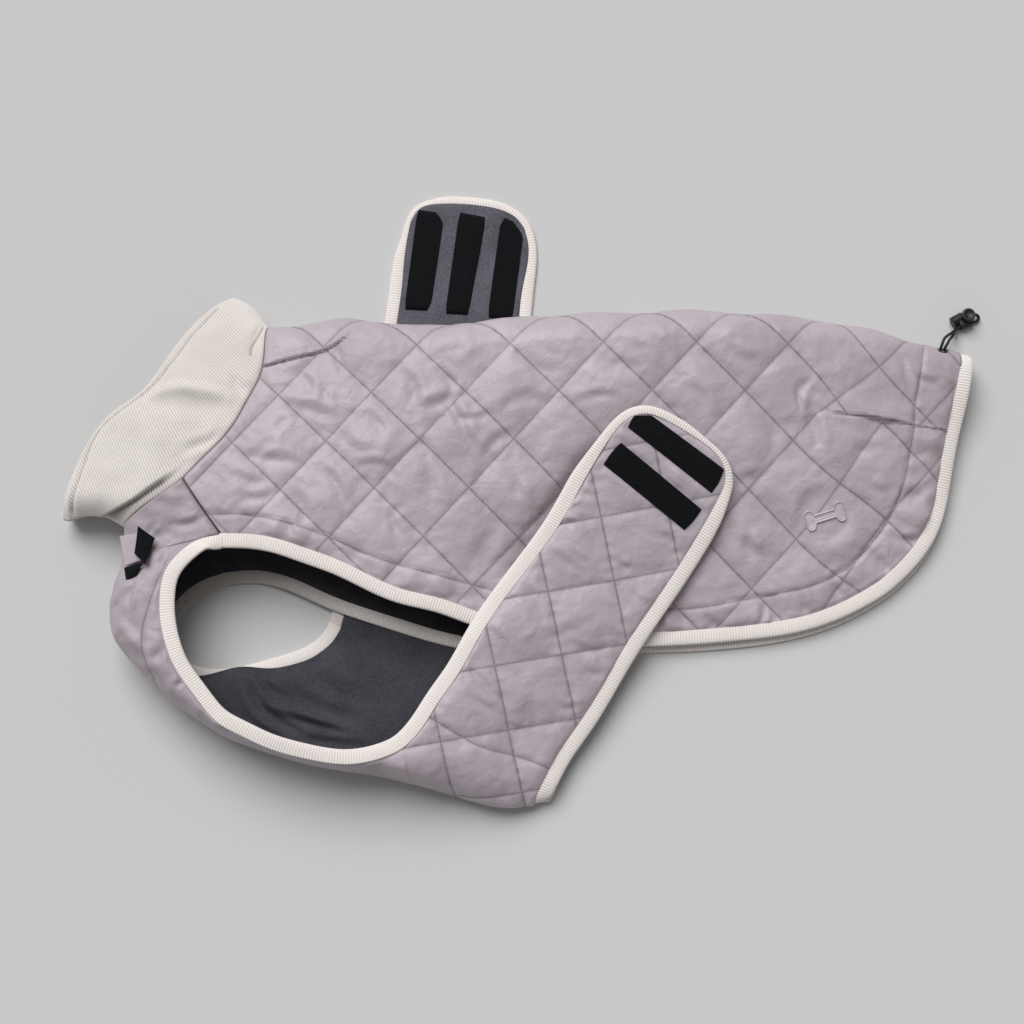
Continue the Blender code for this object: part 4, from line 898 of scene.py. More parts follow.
# ---- finishes
class Finish:
    """A material in the making: its nodes, its Principled shader and the object's places."""

    def __init__(self, name, roughness, specular=0.5, sheen=0.0, sheen_roughness=0.5,
                 sheen_tint=(1.0, 1.0, 1.0)):
        self.material = bpy.data.materials.new(name)
        self.material.use_nodes = True
        self.tree = self.material.node_tree
        self.shader = self.tree.nodes["Principled BSDF"]
        self.feed(self.shader, {
            "Roughness": roughness, "Specular IOR Level": specular, "Sheen Weight": sheen,
            "Sheen Roughness": sheen_roughness, "Sheen Tint": sheen_tint})
        self.where = self.node("ShaderNodeTexCoord").outputs["Object"]

    def feed(self, made, inputs):
        """Links or sets a node's sockets, by name or number; a tuple is a colour."""
        for key, value in inputs.items():
            if isinstance(value, bpy.types.NodeSocket):
                self.tree.links.new(value, made.inputs[key])
            else:
                made.inputs[key].default_value = (*value, 1.0) if isinstance(value, tuple) else value

    def node(self, kind, inputs=None, **settings):
        """A new node with its settings and inputs."""
        made = self.tree.nodes.new(kind)
        for key, value in settings.items():
            setattr(made, key, value)
        self.feed(made, inputs or {})
        return made

    def noise(self, scale, detail=2.0, roughness=0.5, distortion=0.0):
        """Noise between 0 and 1 at the object's places."""
        return self.node("ShaderNodeTexNoise", {
            "Vector": self.where, "Scale": scale, "Detail": detail, "Roughness": roughness,
            "Distortion": distortion}).outputs["Fac"]

    def math(self, operation, *values):
        """One sum of numbers or of other nodes' values."""
        return self.node("ShaderNodeMath", dict(enumerate(values)), operation=operation).outputs[0]

    def ranged(self, value, low, high, to_low=0.0, to_high=1.0):
        """The value from one range stretched to another, and held inside it."""
        return self.node("ShaderNodeMapRange", {
            "Value": value, "From Min": low, "From Max": high,
            "To Min": to_low, "To Max": to_high}).outputs["Result"]

    def blend(self, share, first, second):
        """Colour between two colours."""
        return self.node("ShaderNodeMix", {0: share, 6: first, 7: second}, data_type="RGBA").outputs[2]

    def attribute(self, name, output="Fac"):
        """Numbers stored at the piece's points."""
        return self.node("ShaderNodeAttribute", attribute_name=name).outputs[output]

    def numbers(self, name):
        """The three numbers of a vector attribute."""
        return self.node("ShaderNodeSeparateXYZ", {"Vector": self.attribute(name, "Vector")}).outputs

    def line(self, distance, width, depth):
        """Depth on a line, falling smoothly to 0 at that width, from the distance in mm."""
        near = self.ranged(self.math("ABSOLUTE", distance), 0.0, width, 1.0, 0.0)
        return self.math("MULTIPLY", self.math("MULTIPLY", near, near), depth)

    def gloss(self, scale, low, high):
        """Roughness that wanders between two values."""
        self.feed(self.shader, {"Roughness": self.ranged(self.noise(scale), 0.3, 0.7, low, high)})

    def done(self, shade, *bumps):
        """The material, with its colour and its bumps, one on another: each has a height,
        a distance in metres and a strength."""
        last = {}
        for height, distance, strength in bumps:
            facts = {"Height": height, "Distance": distance, "Strength": strength, **last}
            last = {"Normal": self.node("ShaderNodeBump", facts).outputs["Normal"]}
        self.feed(self.shader, {"Base Color": shade, **last})
        return self.material


def dyed(colour, share):
    """The colour made darker or lighter."""
    return tuple(min(c * share, 1.0) for c in colour)


def sewn_share(look):
    """How much painted shade a place gets in a seam, 0..1: on quilting lines, where either
    number of the attribute quilt is whole, on plain seams, on darts, whose painted shade is
    thin and dark, and along the panel's bound edge."""
    first, second, quilted = look.numbers("quilt")
    plain, dart, edge = look.numbers("seams")
    gaps = [look.math("PINGPONG", value, 0.5) for value in (first, second)]
    nearest = look.math("MULTIPLY", look.math("MINIMUM", *gaps), WING_SPACING)
    dark = look.math("MULTIPLY", look.line(nearest, LINE_WIDTH, LINE_DEPTH), quilted)
    for seam in ((plain, LINE_WIDTH, LINE_DEPTH), (dart, DART_WIDTH, DART_DEPTH), (edge, 1.4, 0.5)):
        dark = look.math("MAXIMUM", dark, look.line(*seam))
    return dark


def satin_finish(name, colour, quilted):
    """Matt satin: close weave, broad dents and a soft sheen, with painted shade in its seams,
    darts and grooves, and on the unquilted chest strip.
    """
    look = Finish(name, 0.46, 0.38, 0.16, 0.4, (1.0, 0.95, 0.98))
    cloudy = look.ranged(look.noise(16.0, 3.0), 0.3, 0.7)
    shade = look.blend(cloudy, dyed(colour, 0.90), dyed(colour, 1.07))
    slub = look.ranged(look.noise(900.0), 0.35, 0.65)
    shade = look.blend(look.math("MULTIPLY", slub, 0.10), shade, dyed(colour, 0.72))
    # Painted shade on the unquilted chest strip, which faces away from the light.
    if quilted:
        plain = look.math("SUBTRACT", 1.0, look.numbers("quilt")[2])
        shade = look.blend(look.math("MULTIPLY", plain, PLAIN_SHADE_DEPTH), shade, dyed(colour, 0.3))
    # Painted shade in seams, darts and the panel's bound edge, or on plain satin from its shade values.
    sunk = sewn_share(look) if quilted else look.attribute("tone")
    shade = look.blend(sunk, shade, dyed(colour, 0.12))
    look.gloss(60.0, 0.40, 0.50)
    dents, folds = look.noise(44.0, 1.0, 0.5, 0.5), look.noise(110.0, 1.0, 0.5, 0.8)
    fine, weave = look.noise(420.0, 1.0), look.noise(2600.0, 0.0)
    return look.done(shade, (dents, 0.008, 0.34), (folds, 0.0026, 0.26), (fine, 0.0006, 0.20),
                     (weave, 0.00018, 0.30), (sunk, 0.0007, -0.6))


def fleece_finish(name, colour):
    """Brushed fleece: short nap in tufts, lighter where it stands up, and painted shade where
    it lies deep inside the coat.
    """
    look = Finish(name, 0.95, 0.08, 0.14, 0.5, (0.75, 0.76, 0.86))
    tufts, cloudy = look.noise(520.0, 4.0, 0.7), look.noise(40.0, 3.0, 0.6)
    mixed = look.math("MULTIPLY_ADD", tufts, 0.6, look.math("MULTIPLY", cloudy, 0.4))
    shade = look.blend(look.ranged(mixed, 0.36, 0.66), dyed(colour, 0.62), dyed(colour, 1.40))
    # Painted shade, stored at the lining's points.
    shade = look.blend(look.attribute("tone"), shade, dyed(colour, 0.2))
    return look.done(shade, (cloudy, 0.0016, 0.4), (tufts, 0.0010, 0.8))


def corduroy_finish(name, colour, deep, groove_shade, napped, lined):
    """Corduroy: pale ridges, with painted shade, warmer and darker, between them, and a short
    pile; painted shade from its points' values; where it is lined, painted shade under a
    step, in a tuck and along its topstitching."""
    look = Finish(name, 0.88, 0.22, 0.30, 0.5, (1.0, 0.98, 0.95))
    cloudy = look.ranged(look.noise(45.0, 3.0), 0.3, 0.7)
    pile = look.noise(1300.0, 3.0, 0.6)
    shade = look.blend(cloudy, dyed(colour, 0.95), colour)
    groove = look.math("SUBTRACT", 1.0, look.attribute("rib"))
    # Painted shade in the grooves between the ribs; the pile's tone is random.
    for shown_by, share in ((groove, groove_shade), (look.ranged(pile, 0.4, 0.7), napped)):
        shade = look.blend(look.math("MULTIPLY", shown_by, share), shade, deep)
    shade = look.blend(look.attribute("tone"), shade, dyed(deep, 0.25))
    if lined:
        step, tuck, sewn = look.numbers("seams")
        # Painted shade along the step, in the tuck and along the topstitching.
        for line in ((step, 2.6, 0.85), (tuck, 1.8, 0.8), (sewn, 1.8, 0.40)):
            shade = look.blend(look.line(*line), shade, dyed(deep, 0.35))
    return look.done(shade, (pile, 0.0005, 0.5))


def grained_finish(name, colour, basics, grain, window, dark, light, bump=None, gloss=None):
    """One noise between two shades, with a bump of the same noise."""
    look = Finish(name, *basics)
    if gloss:
        look.gloss(*gloss)
    fine = look.noise(*grain)
    shade = look.blend(look.ranged(fine, *window), dyed(colour, dark), dyed(colour, light))
    return look.done(shade, *([(fine, *bump)] if bump else []))


# Each finish: how it is made, its colour, a share of that colour, and its other facts.
SEWING_THREAD = ((0.6, 0.3), (3000.0, 1.0), (0.0, 1.0), 0.75, 1.0)
FINISHES = {
    "quilted satin": (satin_finish, "satin", 1.0, True),
    "plain satin": (satin_finish, "satin", 1.0, False),
    "badge silk": (satin_finish, "satin", 1.16, False),
    "brushed fleece": (fleece_finish, "fleece", 1.0),
    "collar corduroy": (corduroy_finish, "corduroy", 1.0, "corduroy_deep", 0.56, 0.16, True),
    "ribbed binding": (corduroy_finish, "binding", 1.0, "binding_deep", 0.42, 0.08, False),
    "hook and loop tape": (grained_finish, "tape", 1.0, (0.95, 0.06, 0.02, 0.5), (1500.0, 3.0, 0.7),
                           (0.42, 0.72), 1.0, 2.4, (0.0009, 0.8)),
    "elastic cord": (grained_finish, "tape", 1.0, (0.62, 0.35, 0.10, 0.4), (1400.0, 2.0),
                     (0.4, 0.65), 1.0, 2.2, (0.0004, 0.7)),
    "black plastic": (grained_finish, "plastic", 1.0, (0.38, 0.5), (900.0, 2.0),
                      (0.3, 0.7), 1.0, 1.5, (0.0001, 0.4), (120.0, 0.32, 0.48)),
    # The sewing thread is the satin's colour, painted darker with the shade of its sunk line and needle
    # holes.
    "thread": (grained_finish, "satin", 0.44, *SEWING_THREAD),
    "pale thread": (grained_finish, "corduroy", 0.62, *SEWING_THREAD),
    "pale board": (grained_finish, "floor", 1.0, (0.9, 0.2), (1.6, 2.0), (0.3, 0.7), 0.985, 1.0),
}


def finish(name):
    """The finish of that name, made the first time it is asked for."""
    if name in bpy.data.materials:
        return bpy.data.materials[name]
    colours = bpy.context.scene.coat_colours
    build, colour, share, *facts = FINISHES[name]
    facts = [tuple(getattr(colours, fact)) if isinstance(fact, str) else fact for fact in facts]
    return build(name, dyed(getattr(colours, colour), share), *facts)


# ---- the two panels
def cloth():
    """The cloth's settings in the panel."""
    return bpy.context.scene.coat_cloth


Cells = namedtuple("Cells", "front length far fold near")
PANEL_BACK = Cells(24, 288, 48, 36, 124)
LINING_BACK = Cells(12, 144, 24, 20, 52)
Strips = namedtuple("Strips", "front rows turn flat across near far")
PANEL_BELLY = Strips(32, 224, 72, 16, 92, 200, 152)
LINING_BELLY = Strips(16, 112, 36, 56, 44, 96, 92)
LEAST_OFFSET = -0.6      # of the outer face in the deepest folds
EDGE_HEIGHT = 0.15       # of the outer face at a panel's edge, over the sheet
SEAM_REACH = 1.3         # over which the face comes down to a seam, and to a binding
BOUND_REACH = 4.8


def back_surface(cells):
    """Grid of the back panel: along it, and from its far lower edge to the near one."""
    front = np.linspace(0.0, SHOULDER_SHARE, cells.front + 1)[:-1]
    length = np.concatenate([front, np.linspace(SHOULDER_SHARE, 1.0, cells.length + 1)])
    return back_grid(length, spread(cells.far), spread(cells.fold), spread(cells.near))


def belly_surfaces(strips):
    """Grids of the chest strip and of the two wings, which share an edge."""
    corner = SHOULDER_ROW / (len(CHEST) - 1)
    rows = np.concatenate([np.linspace(0.0, corner, strips.front + 1)[:-1],
                           np.linspace(corner, 1.0, strips.rows + 1)])
    turn, flat = spread(strips.turn), spread(strips.flat)
    chest = chest_grid(rows, turn, flat)
    wings = wing_grid(spread(strips.across), spread(strips.near), turn,
                      far_wing_shares(flat, strips.far))
    return chest, wings


def unrolled(grid, start):
    """The y of each grid point, and before column start the y that it would have if the
    cloth went on flat: the column's y there and the distance to it over the cloth."""
    y = grid[..., 1].copy()
    steps = norm(np.diff(grid[:, :start + 1], axis=1), axis=-1)
    y[:, :start] = y[:, start:start + 1] + np.cumsum(steps[:, ::-1], axis=1)[:, ::-1]
    return y


def back_quilt(x, y):
    """Numbers of the two families of quilting lines on the back panel: whole on a line.
    The tail dart shifts the rows apart."""
    column = QUILT_ORIGIN[0] + x / QUILT_COLUMN + QUILT_SKEW[0] * y
    row = QUILT_ORIGIN[1] - y / QUILT_ROW + QUILT_SKEW[1] * x
    dart = np.interp(x, [TAIL_DART[-1][0], TAIL_DART[0][0]], [TAIL_DART[-1][1], TAIL_DART[0][1]])
    lost = DART_LOSS * smooth_step((x - DART_START) / DART_REACH)
    row = row + np.where(y > dart, -lost, lost)
    return (column - row) / 2, (column + row) / 2


def wing_quilt(x, y):
    """The same for the wings: both families are straight."""
    (p0, px, py), (q0, qx, qy) = WING_QUILT
    return p0 + px * x + py * y, q0 + qx * x + qy * y


def near_line(value, spacing):
    """Distance in millimetres from the nearest whole number."""
    return np.abs(value - np.round(value)) * spacing


def wadded(a, b, x, y, edge, up, spacing, seed, sewn, loose=1.0):
    """Offset of the outer face from the sheet: pillows between the lines, fuller or
    slacker from place to place, puckered across the lines and drawn in at the edges.
    Over the distance sewn it comes down to a seam or binding.  The side that lies down is
    flat, with sunk lines."""
    size = cloth()
    pillow = (np.abs(np.sin(pi * a)) * np.abs(np.sin(pi * b))) ** size.pillow_power
    fuller = 1.0 + 0.20 * ripples(x, y, 95.0, seed)
    pinch = smooth_step(edge / 11.0)
    puff = (size.crown - size.trough) / MM * pillow * fuller * (0.45 + 0.55 * pinch)
    slack = 0.50 * ripples(x, y, 32.0, seed + 1) + 0.55 * (crumple(x, y, 38.0, seed + 2) - 0.55)
    gathers = np.zeros_like(x)
    for across, along, k in ((a, b, 3), (b, a, 4)):
        close = np.exp(-(near_line(across, spacing) / 7.5) ** 2)
        gathers += close * ripples(along * spacing, across * spacing * 0.22, 8.5, seed + k)
    hemmed = np.exp(-edge / 9.0) * ripples(x, y, 10.0, seed + 5)
    wavy = 0.7 * ripples(x, y, 60.0, seed + 6)
    top = (size.trough / MM + puff + size.pucker / MM * (gathers + hemmed)
           + loose * (slack * pillow + wavy) * pinch)
    top = np.maximum(top, EDGE_HEIGHT)
    top = EDGE_HEIGHT + (top - EDGE_HEIGHT) * smooth_step(edge / sewn) ** 0.7
    under = SHELL / 2 - 1.0 * (1.0 - pillow)
    return under + (top - under) * up


def straight_to_edge(grid, edge, corners, count=44):
    """Distances from the border with those near the listed corners measured straight, in
    plan: there the grid's lines run beside the border and not away from it."""
    edge = edge.copy()
    for i, j in corners:
        part, found = grid[::i, ::j], edge[::i, ::j]
        line = np.concatenate([part[count:0:-4, 0], part[0, 0:count:4]])[:, :2]
        window = np.s_[:count + 10, :count + 10]
        away = beside(line, part[window][..., 0], part[window][..., 1], 25.0)[0]
        found[window] = np.minimum(found[window], np.abs(away))
    return edge


def facing_up(grid):
    """0 where the quilted face looks down, 1 where it looks up."""
    return smooth_step((grid_normals(grid)[..., 2] + 0.1) / 0.9)


def lapped(away, lip, reach, dip):
    """Profile across a dart or overlap: raised on one side, fading with reach, and sunk
    in a narrow line on the other."""
    return np.where(away > 0, lip * np.exp(-away / reach), -dip * np.exp(-(away / 1.4) ** 2))


def sewn_reach(grid, front):
    """Over how far the face comes down: little at the neck and shoulder seams, in the
    grid's first rows, and more past them, where the edge is bound."""
    past = smooth_step((np.arange(len(grid)) - front) / 8.0)[:, None]
    return SEAM_REACH + (BOUND_REACH - SEAM_REACH) * past


def sunk_line(away):
    """Profile across a stitched line: a bell, one millimetre deep."""
    return np.exp(-(away / 1.9) ** 2)


def face_fields(offset, edge, up, quilt, seams, line):
    """What a panel's shell, stitches and finish need at its grid points: the face's offset,
    where stitches may be, how far it looks up, the two quilting numbers and whether it is
    quilted, the distances from plain seams, darts and the edge, and from its one line."""
    def stacked(values):
        return np.stack([np.broadcast_to(value, edge.shape) for value in values], axis=-1)
    return {"offset": offset, "keep": edge > 2.0, "up": up, "quilt": stacked(quilt),
            "seams": stacked([*seams, edge]), "line": line}


def back_fields(grid, start):
    """Everything that shapes the back panel's face at its grid points."""
    x, y = grid[..., 0], unrolled(grid, start)
    a, b = back_quilt(x, y)
    edge = straight_to_edge(grid, from_border(grid), [(-1, -1), (-1, 1)])
    up = facing_up(grid)
    sewn = sewn_reach(grid, PANEL_BACK.front)
    offset = wadded(a, b, x, y, edge, up, QUILT_SPACING, 11, sewn)

    badge = np.hypot(x - BADGE_AT[0], y - BADGE_AT[1])
    calm = 1.0 - smooth_step((badge - 13.0) / 12.0)
    offset = offset + (cloth().badge_seat / MM - offset) * calm * up

    on_spine = smooth_step((x - 180.0) / 40.0) * np.exp(-((y - ridge_outline(x)) / 24.0) ** 2)
    offset = offset + (1.5 - offset) * 0.65 * on_spine * up
    shape = cloth().creases * creased(FLANK_CREASES, x, y)
    casing, casing_run, casing_length = beside(CASING, x, y)
    shape -= sunk_line(casing)
    hem_side = (casing < 0) & (casing > -30)
    puckers = 0.85 * ripples(casing_run, casing * 0.15, 15.0, 21) * hem_side
    shape += puckers * smooth_step(edge / 5)
    neck, tail = beside(NECK_DART, x, y)[0], beside(TAIL_DART, x, y)[0]
    on_neck = smooth_step((-104.0 - x) / 14.0)
    on_tail = smooth_step((x - 214.0) / 16.0)
    shape += lapped(neck, 1.9, 12.0, 0.9) * on_neck
    shape += lapped(-tail, 1.2, 12.0, 0.5) * on_tail
    dart = np.where(x < 0, np.abs(neck + 0.4) + 9.0 * (1.0 - on_neck),
                    np.abs(tail - 0.3) + 9.0 * (1.0 - on_tail))
    offset = np.maximum(offset + shape * up * smooth_step(edge / sewn), LEAST_OFFSET)
    return face_fields(offset, edge, up, (a, b, 1.0), (casing, dart),
                       (casing, casing_run, casing_length))


def wing_edge(grid, strips):
    """Distance from the wings' free edges.  On the left, the stretch shared with the chest
    isn't free: there the distance is from its nearer end."""
    across, along = runs(grid, 0), runs(grid, 1)
    first, last = strips.near, strips.near + strips.turn + strips.flat
    past = np.maximum(along - along[:, first:first + 1], 0.0)
    ahead = np.maximum(along[:, last:last + 1] - along, 0.0)
    left = np.hypot(across, np.minimum(past, ahead))
    return np.minimum(np.minimum(left, from_end(across, 0)), from_sides(along, 1))


def wing_fields(grid, strips):
    """Everything that shapes the wings' quilted face."""
    mirrored = grid[:, ::-1] * (1.0, -1.0, 1.0)
    x, y = grid[..., 0], -unrolled(mirrored, grid.shape[1] - 1 - strips.near)[:, ::-1]
    a, b = wing_quilt(x, y)
    corners = [(1, 1), (-1, 1), (1, -1), (-1, -1)]
    edge, up = straight_to_edge(grid, wing_edge(grid, strips), corners), facing_up(grid)
    offset = wadded(a, b, x, y, edge, up, WING_SPACING, 31, BOUND_REACH, WING_LOOSE)
    calm = np.zeros_like(x)
    for strip in LOOP_STRIPS:
        start = np.mean([strip.start_low, strip.start_high], axis=0)
        end = np.mean([strip.end_low, strip.end_high], axis=0)
        away = beside([start, (start + end) / 2, end], x, y)[0]
        calm = np.maximum(calm, 1.0 - smooth_step((np.abs(away) - 9.0) / 4.0))
    offset = offset + (np.minimum(offset, 1.35) - offset) * calm * up
    seam = beside(BELLY_SEAM, x, y)
    shape = WING_LOOSE * cloth().creases * creased(WING_CREASES, x, y) - sunk_line(seam[0])
    shape = shape * up * (1.0 - calm) * smooth_step(edge / BOUND_REACH)
    fields = face_fields(np.maximum(offset + shape, LEAST_OFFSET), edge, up, (a, b, 1.0),
                         (np.where(up > 0.1, seam[0], FAR_OFF), FAR_OFF), seam)
    return {**fields, "x": x, "y": y}


def chest_fields(grid, wing, strips):
    """Everything that shapes the chest strip's quilted face.  Its quilting goes on from the
    wings': the places of the shared row, less the distance back along the strip."""
    first = strips.near
    shared = slice(first, first + grid.shape[1])
    back = from_end(runs(grid, 0), 0)
    x = wing["x"][0, shared] - back
    y = np.broadcast_to(wing["y"][0, shared], x.shape)
    a, b = wing_quilt(x, y)
    edge = np.minimum(from_sides(runs(grid, 1), 1), runs(grid, 0))
    up = facing_up(grid)
    sewn = sewn_reach(grid, PANEL_BELLY.front)
    x, y = grid[..., 0], grid[..., 1]
    quilted = smooth_step((CHEST_QUILT - back) / 14.0)
    plain = 1.5 + 0.5 * ripples(x, y, 30.0, 61) + 0.35 * ripples(x, y, 14.0, 62)
    offset = wadded(a, b, x, y, edge, up, WING_SPACING, 51, sewn) * quilted
    offset = offset + (EDGE_HEIGHT + (plain - EDGE_HEIGHT) * smooth_step(edge / sewn)) * (1 - quilted)
    line = beside(CHEST_LINE, x, y)
    shape = cloth().creases * creased(CHEST_CREASES, x, y) - 0.9 * np.exp(-(line[0] / 2.0) ** 2)
    offset = np.maximum(offset + shape * smooth_step(edge / sewn), LEAST_OFFSET)
    offset = SHELL / 2 + (offset - SHELL / 2) * up
    return face_fields(offset, edge, up, (a, b, quilted),
                       (np.where(up > 0.1, line[0], FAR_OFF), FAR_OFF), line)


def raised(grid, fields):
    """The grid's points on its finished face."""
    points = grid + grid_normals(grid) * fields["offset"][..., None]
    points[..., 2] = np.maximum(points[..., 2], FLOOR_CLEAR)
    return points


def quilt_stitches(grid, fields, spacing):
    """Stitches along both families of quilting lines of a panel's grid."""
    face = raised(grid, fields)
    a, b, quilted = np.moveaxis(fields["quilt"], -1, 0)
    keep = fields["keep"] & (quilted > 0.5)
    return [stitch_places(face, *pair, keep, STITCH_PITCH / spacing) for pair in ((a, b), (b, a))]


def line_stitches(grid, fields):
    """Stitches along a panel's one line that isn't in its quilting."""
    keep = fields["keep"] & (fields["up"] > 0.5)
    return [seam_stitches(raised(grid, fields), fields["line"], keep, STITCH_PITCH)]


def seam_stitches(face, line, keep, pitch):
    """Stitches along a line, from each place's distance from it and along it."""
    away, run, length = line
    close = (np.abs(away) < 8.0) & (run > 0.5) & (run < length - 0.5) & keep
    return stitch_places(face, away / FAR_OFF, run, close, pitch)


# Round a single grid against the way its faces run.
BORDER = [(0, np.s_[:-1, 0]), (0, np.s_[-1, :-1]), (0, np.s_[:0:-1, -1]), (0, np.s_[0, :0:-1])]


def belly_loop(strips):
    """Round the belly panel against the way its faces run: near edge of the chest, near
    wing, far wing, far edge of the chest, and across the neck."""
    corner = strips.near + strips.turn + strips.flat
    return [(0, np.s_[:-1, 0]), (1, np.s_[0, strips.near:0:-1]), (1, np.s_[:-1, 0]),
            (1, np.s_[-1, :-1]), (1, np.s_[:0:-1, -1]), (1, np.s_[0, :corner:-1]),
            (0, np.s_[:0:-1, -1]), (0, np.s_[0, :0:-1])]


def panel_values(parts, first, count):
    """A panel's quilting numbers and its distances from seams, for its finish."""
    return padded_values(count, **{
        key: np.concatenate([fields[key].reshape(-1, 3) for fields in parts])[first]
        for key in ("quilt", "seams")})


def make_back():
    """Back panel of quilted satin, and the stitches of its quilting and casing."""
    grid = back_surface(PANEL_BACK)
    fields = back_fields(grid, PANEL_BACK.far + PANEL_BACK.fold)
    points, groups, first = closed_shell([grid], [BORDER], [fields["offset"]], PANEL_BACKING)
    values = panel_values([fields], first, len(points))
    panel = add_piece("back_satin", points, groups, "quilted satin", "satin", ["back_panel"], values)
    places = quilt_stitches(grid, fields, QUILT_SPACING) + line_stitches(grid, fields)
    stitching = add_piece("back_stitching", *stitch_mesh(joined_places(places)), "thread", "satin")


def make_belly():
    """Belly panel of the same satin, and the stitches of its quilting and seams."""
    chest, wings = belly_surfaces(PANEL_BELLY)
    on_wings = wing_fields(wings, PANEL_BELLY)
    on_chest = chest_fields(chest, on_wings, PANEL_BELLY)
    points, groups, first = closed_shell(
        [chest, wings], [belly_loop(PANEL_BELLY)], [on_chest["offset"], on_wings["offset"]],
        PANEL_BACKING)
    panel = add_piece("belly_satin", points, groups, "quilted satin", "satin", ["belly_panel"],
                      panel_values([on_chest, on_wings], first, len(points)))
    places = quilt_stitches(wings, on_wings, WING_SPACING)
    places += quilt_stitches(chest, on_chest, WING_SPACING)
    places += line_stitches(wings, on_wings) + line_stitches(chest, on_chest)
    stitching = add_piece("belly_stitching", *stitch_mesh(joined_places(places)), "thread", "satin")


# ---- linings
# Where the belly's fleece slumps loose over the binding of the far leg hole.
Slump = namedtuple("Slump", "x y wide deep moved")
SLUMP = Slump(-196, -120, 24.0, 15.0, (3.0, 9.0, 4.6))


def make_back_lining():
    """Fleece on a coarser grid of the same surface."""
    grid = back_surface(LINING_BACK)
    lining("back_fleece", [grid], BORDER, "back_lining")


def make_belly_lining():
    """Fleece on coarser grids of the same surfaces."""
    grids = belly_surfaces(LINING_BELLY)
    lining("belly_fleece", grids, belly_loop(LINING_BELLY), "belly_lining")


def lining(name, grids, loop, node_name):
    """Fleece inside a panel: a wall that follows it, and lies in soft folds where the
    lower half of the coat carries it."""
    points, index, first = weld(grids)
    faces = np.concatenate([quads(k) for k in index])
    normals = point_normals(points, faces)
    folds = np.concatenate([lining_folds(g).ravel() for g in grids])[first][:, None]
    outer = points - normals * (SHELL / 2 + LINING_GAP + folds)
    x, y, z = points.T
    loose = np.exp(-((x - SLUMP.x) / SLUMP.wide) ** 2 - ((y - SLUMP.y) / SLUMP.deep) ** 2)
    loose *= (z < 12.0) * (name == "belly_fleece")
    outer = outer + loose[:, None] * np.array(SLUMP.moved)
    inner = outer - normals * LINING
    count = len(points)
    line = np.concatenate([index[k][take].ravel() for k, take in loop])
    ahead = np.roll(line, -1)
    rim = np.stack([line, ahead, ahead + count, line + count], axis=1)
    groups = [faces, faces[:, ::-1] + count, rim]
    # Painted shade: the fleece is darker where it lies deep inside the coat, towards the lower edges
    # and the leg hole, and in the chest strip by the neck.
    if name == "back_fleece":
        tone = 0.80 * smooth_step((10.0 - y) / 20.0) * (x < 40.0)
    else:
        neck = smooth_step((y + 75.0) / 30.0) * smooth_step((-185.0 - x) / 15.0)
        tone = np.maximum(0.58 * smooth_step((-50.0 - y) / 30.0) * (x < 40.0), 0.80 * neck)
    made = add_piece(name, np.concatenate([outer, inner]), groups, "brushed fleece", "fleece",
                     [node_name], {"tone": np.tile(tone, 2)})


def lining_folds(grid):
    """How far the lining stands off its panel: soft folds where it faces up."""
    down = smooth_step(-2.0 * grid_normals(grid)[..., 2] - 0.4)
    x, y = grid[..., 0], grid[..., 1]
    deep = 2.8 * smooth_step((-70.0 - y) / 40.0)
    folds = deep + creased(FLEECE_CREASES, x, y) + FLEECE_WAVES * (1.0 + ripples(x, y, 55.0, 71))
    return np.maximum(folds, 0.0) * down * smooth_step(from_sides(runs(grid, 1), 1) / 14.0)


# ---- collar
COLLAR_WALES = 190
WALE_SAMPLES = 4
COLLAR_ROWS = 52
WALE_LEAN = (0.195, 0.085)   # how far a wale drifts round the collar, and its change
COLLAR_START = 0.4           # from the neck seam to the collar
COLLAR_STEP = [
    (-228, 27), (-235, 22), (-246, 14), (-260, 4.5), (-274, -1), (-288, -3), (-302, -4), (-312, -6),
]
COLLAR_TUCK = [(-178, 136), (-178, 129), (-181, 121), (-184.5, 113), (-185, 107)]
COLLAR_STITCH_PITCH = 2.6
COLLAR_STITCHES = [
    (-211, 146), (-233, 117), (-255, 87), (-280, 66), (-292, 54), (-300, 35), (-305, 18), (-310, 2),
]
COLLAR_CREASES = [
    (-264, 77, -236, 82, -199, 75, 4.6, -2.7, -0.6),
    (-178, 136, -181, 122, -185, 107, 3.0, 1.6, -1.2),
    (-197, 94, -192, 84, -186, 77, 3.6, 1.5, 0.8), (-229, 36, -216, 41, -204, 46, 4.0, 1.3, 0.8),
    (-225, 24, -218, 28, -210, 35, 3.6, 1.2, 0.7), (-258, 72, -232, 69, -196, 68, 7.0, 1.4, 0.0),
    (-265, 77, -256, 81, -247, 85, 3.4, 1.5, 0.6), (-240, 112, -226, 106, -214, 92, 9.0, 0.6, 0.4),
    (-300, 20, -284, 12, -262, 14, 8.0, 0.7, 0.5), (-276, 52, -262, 38, -258, 22, 8.0, 0.6, 0.4),
    (-222, 70, -216, 56, -222, 42, 5.0, 0.5, 0.4),
]


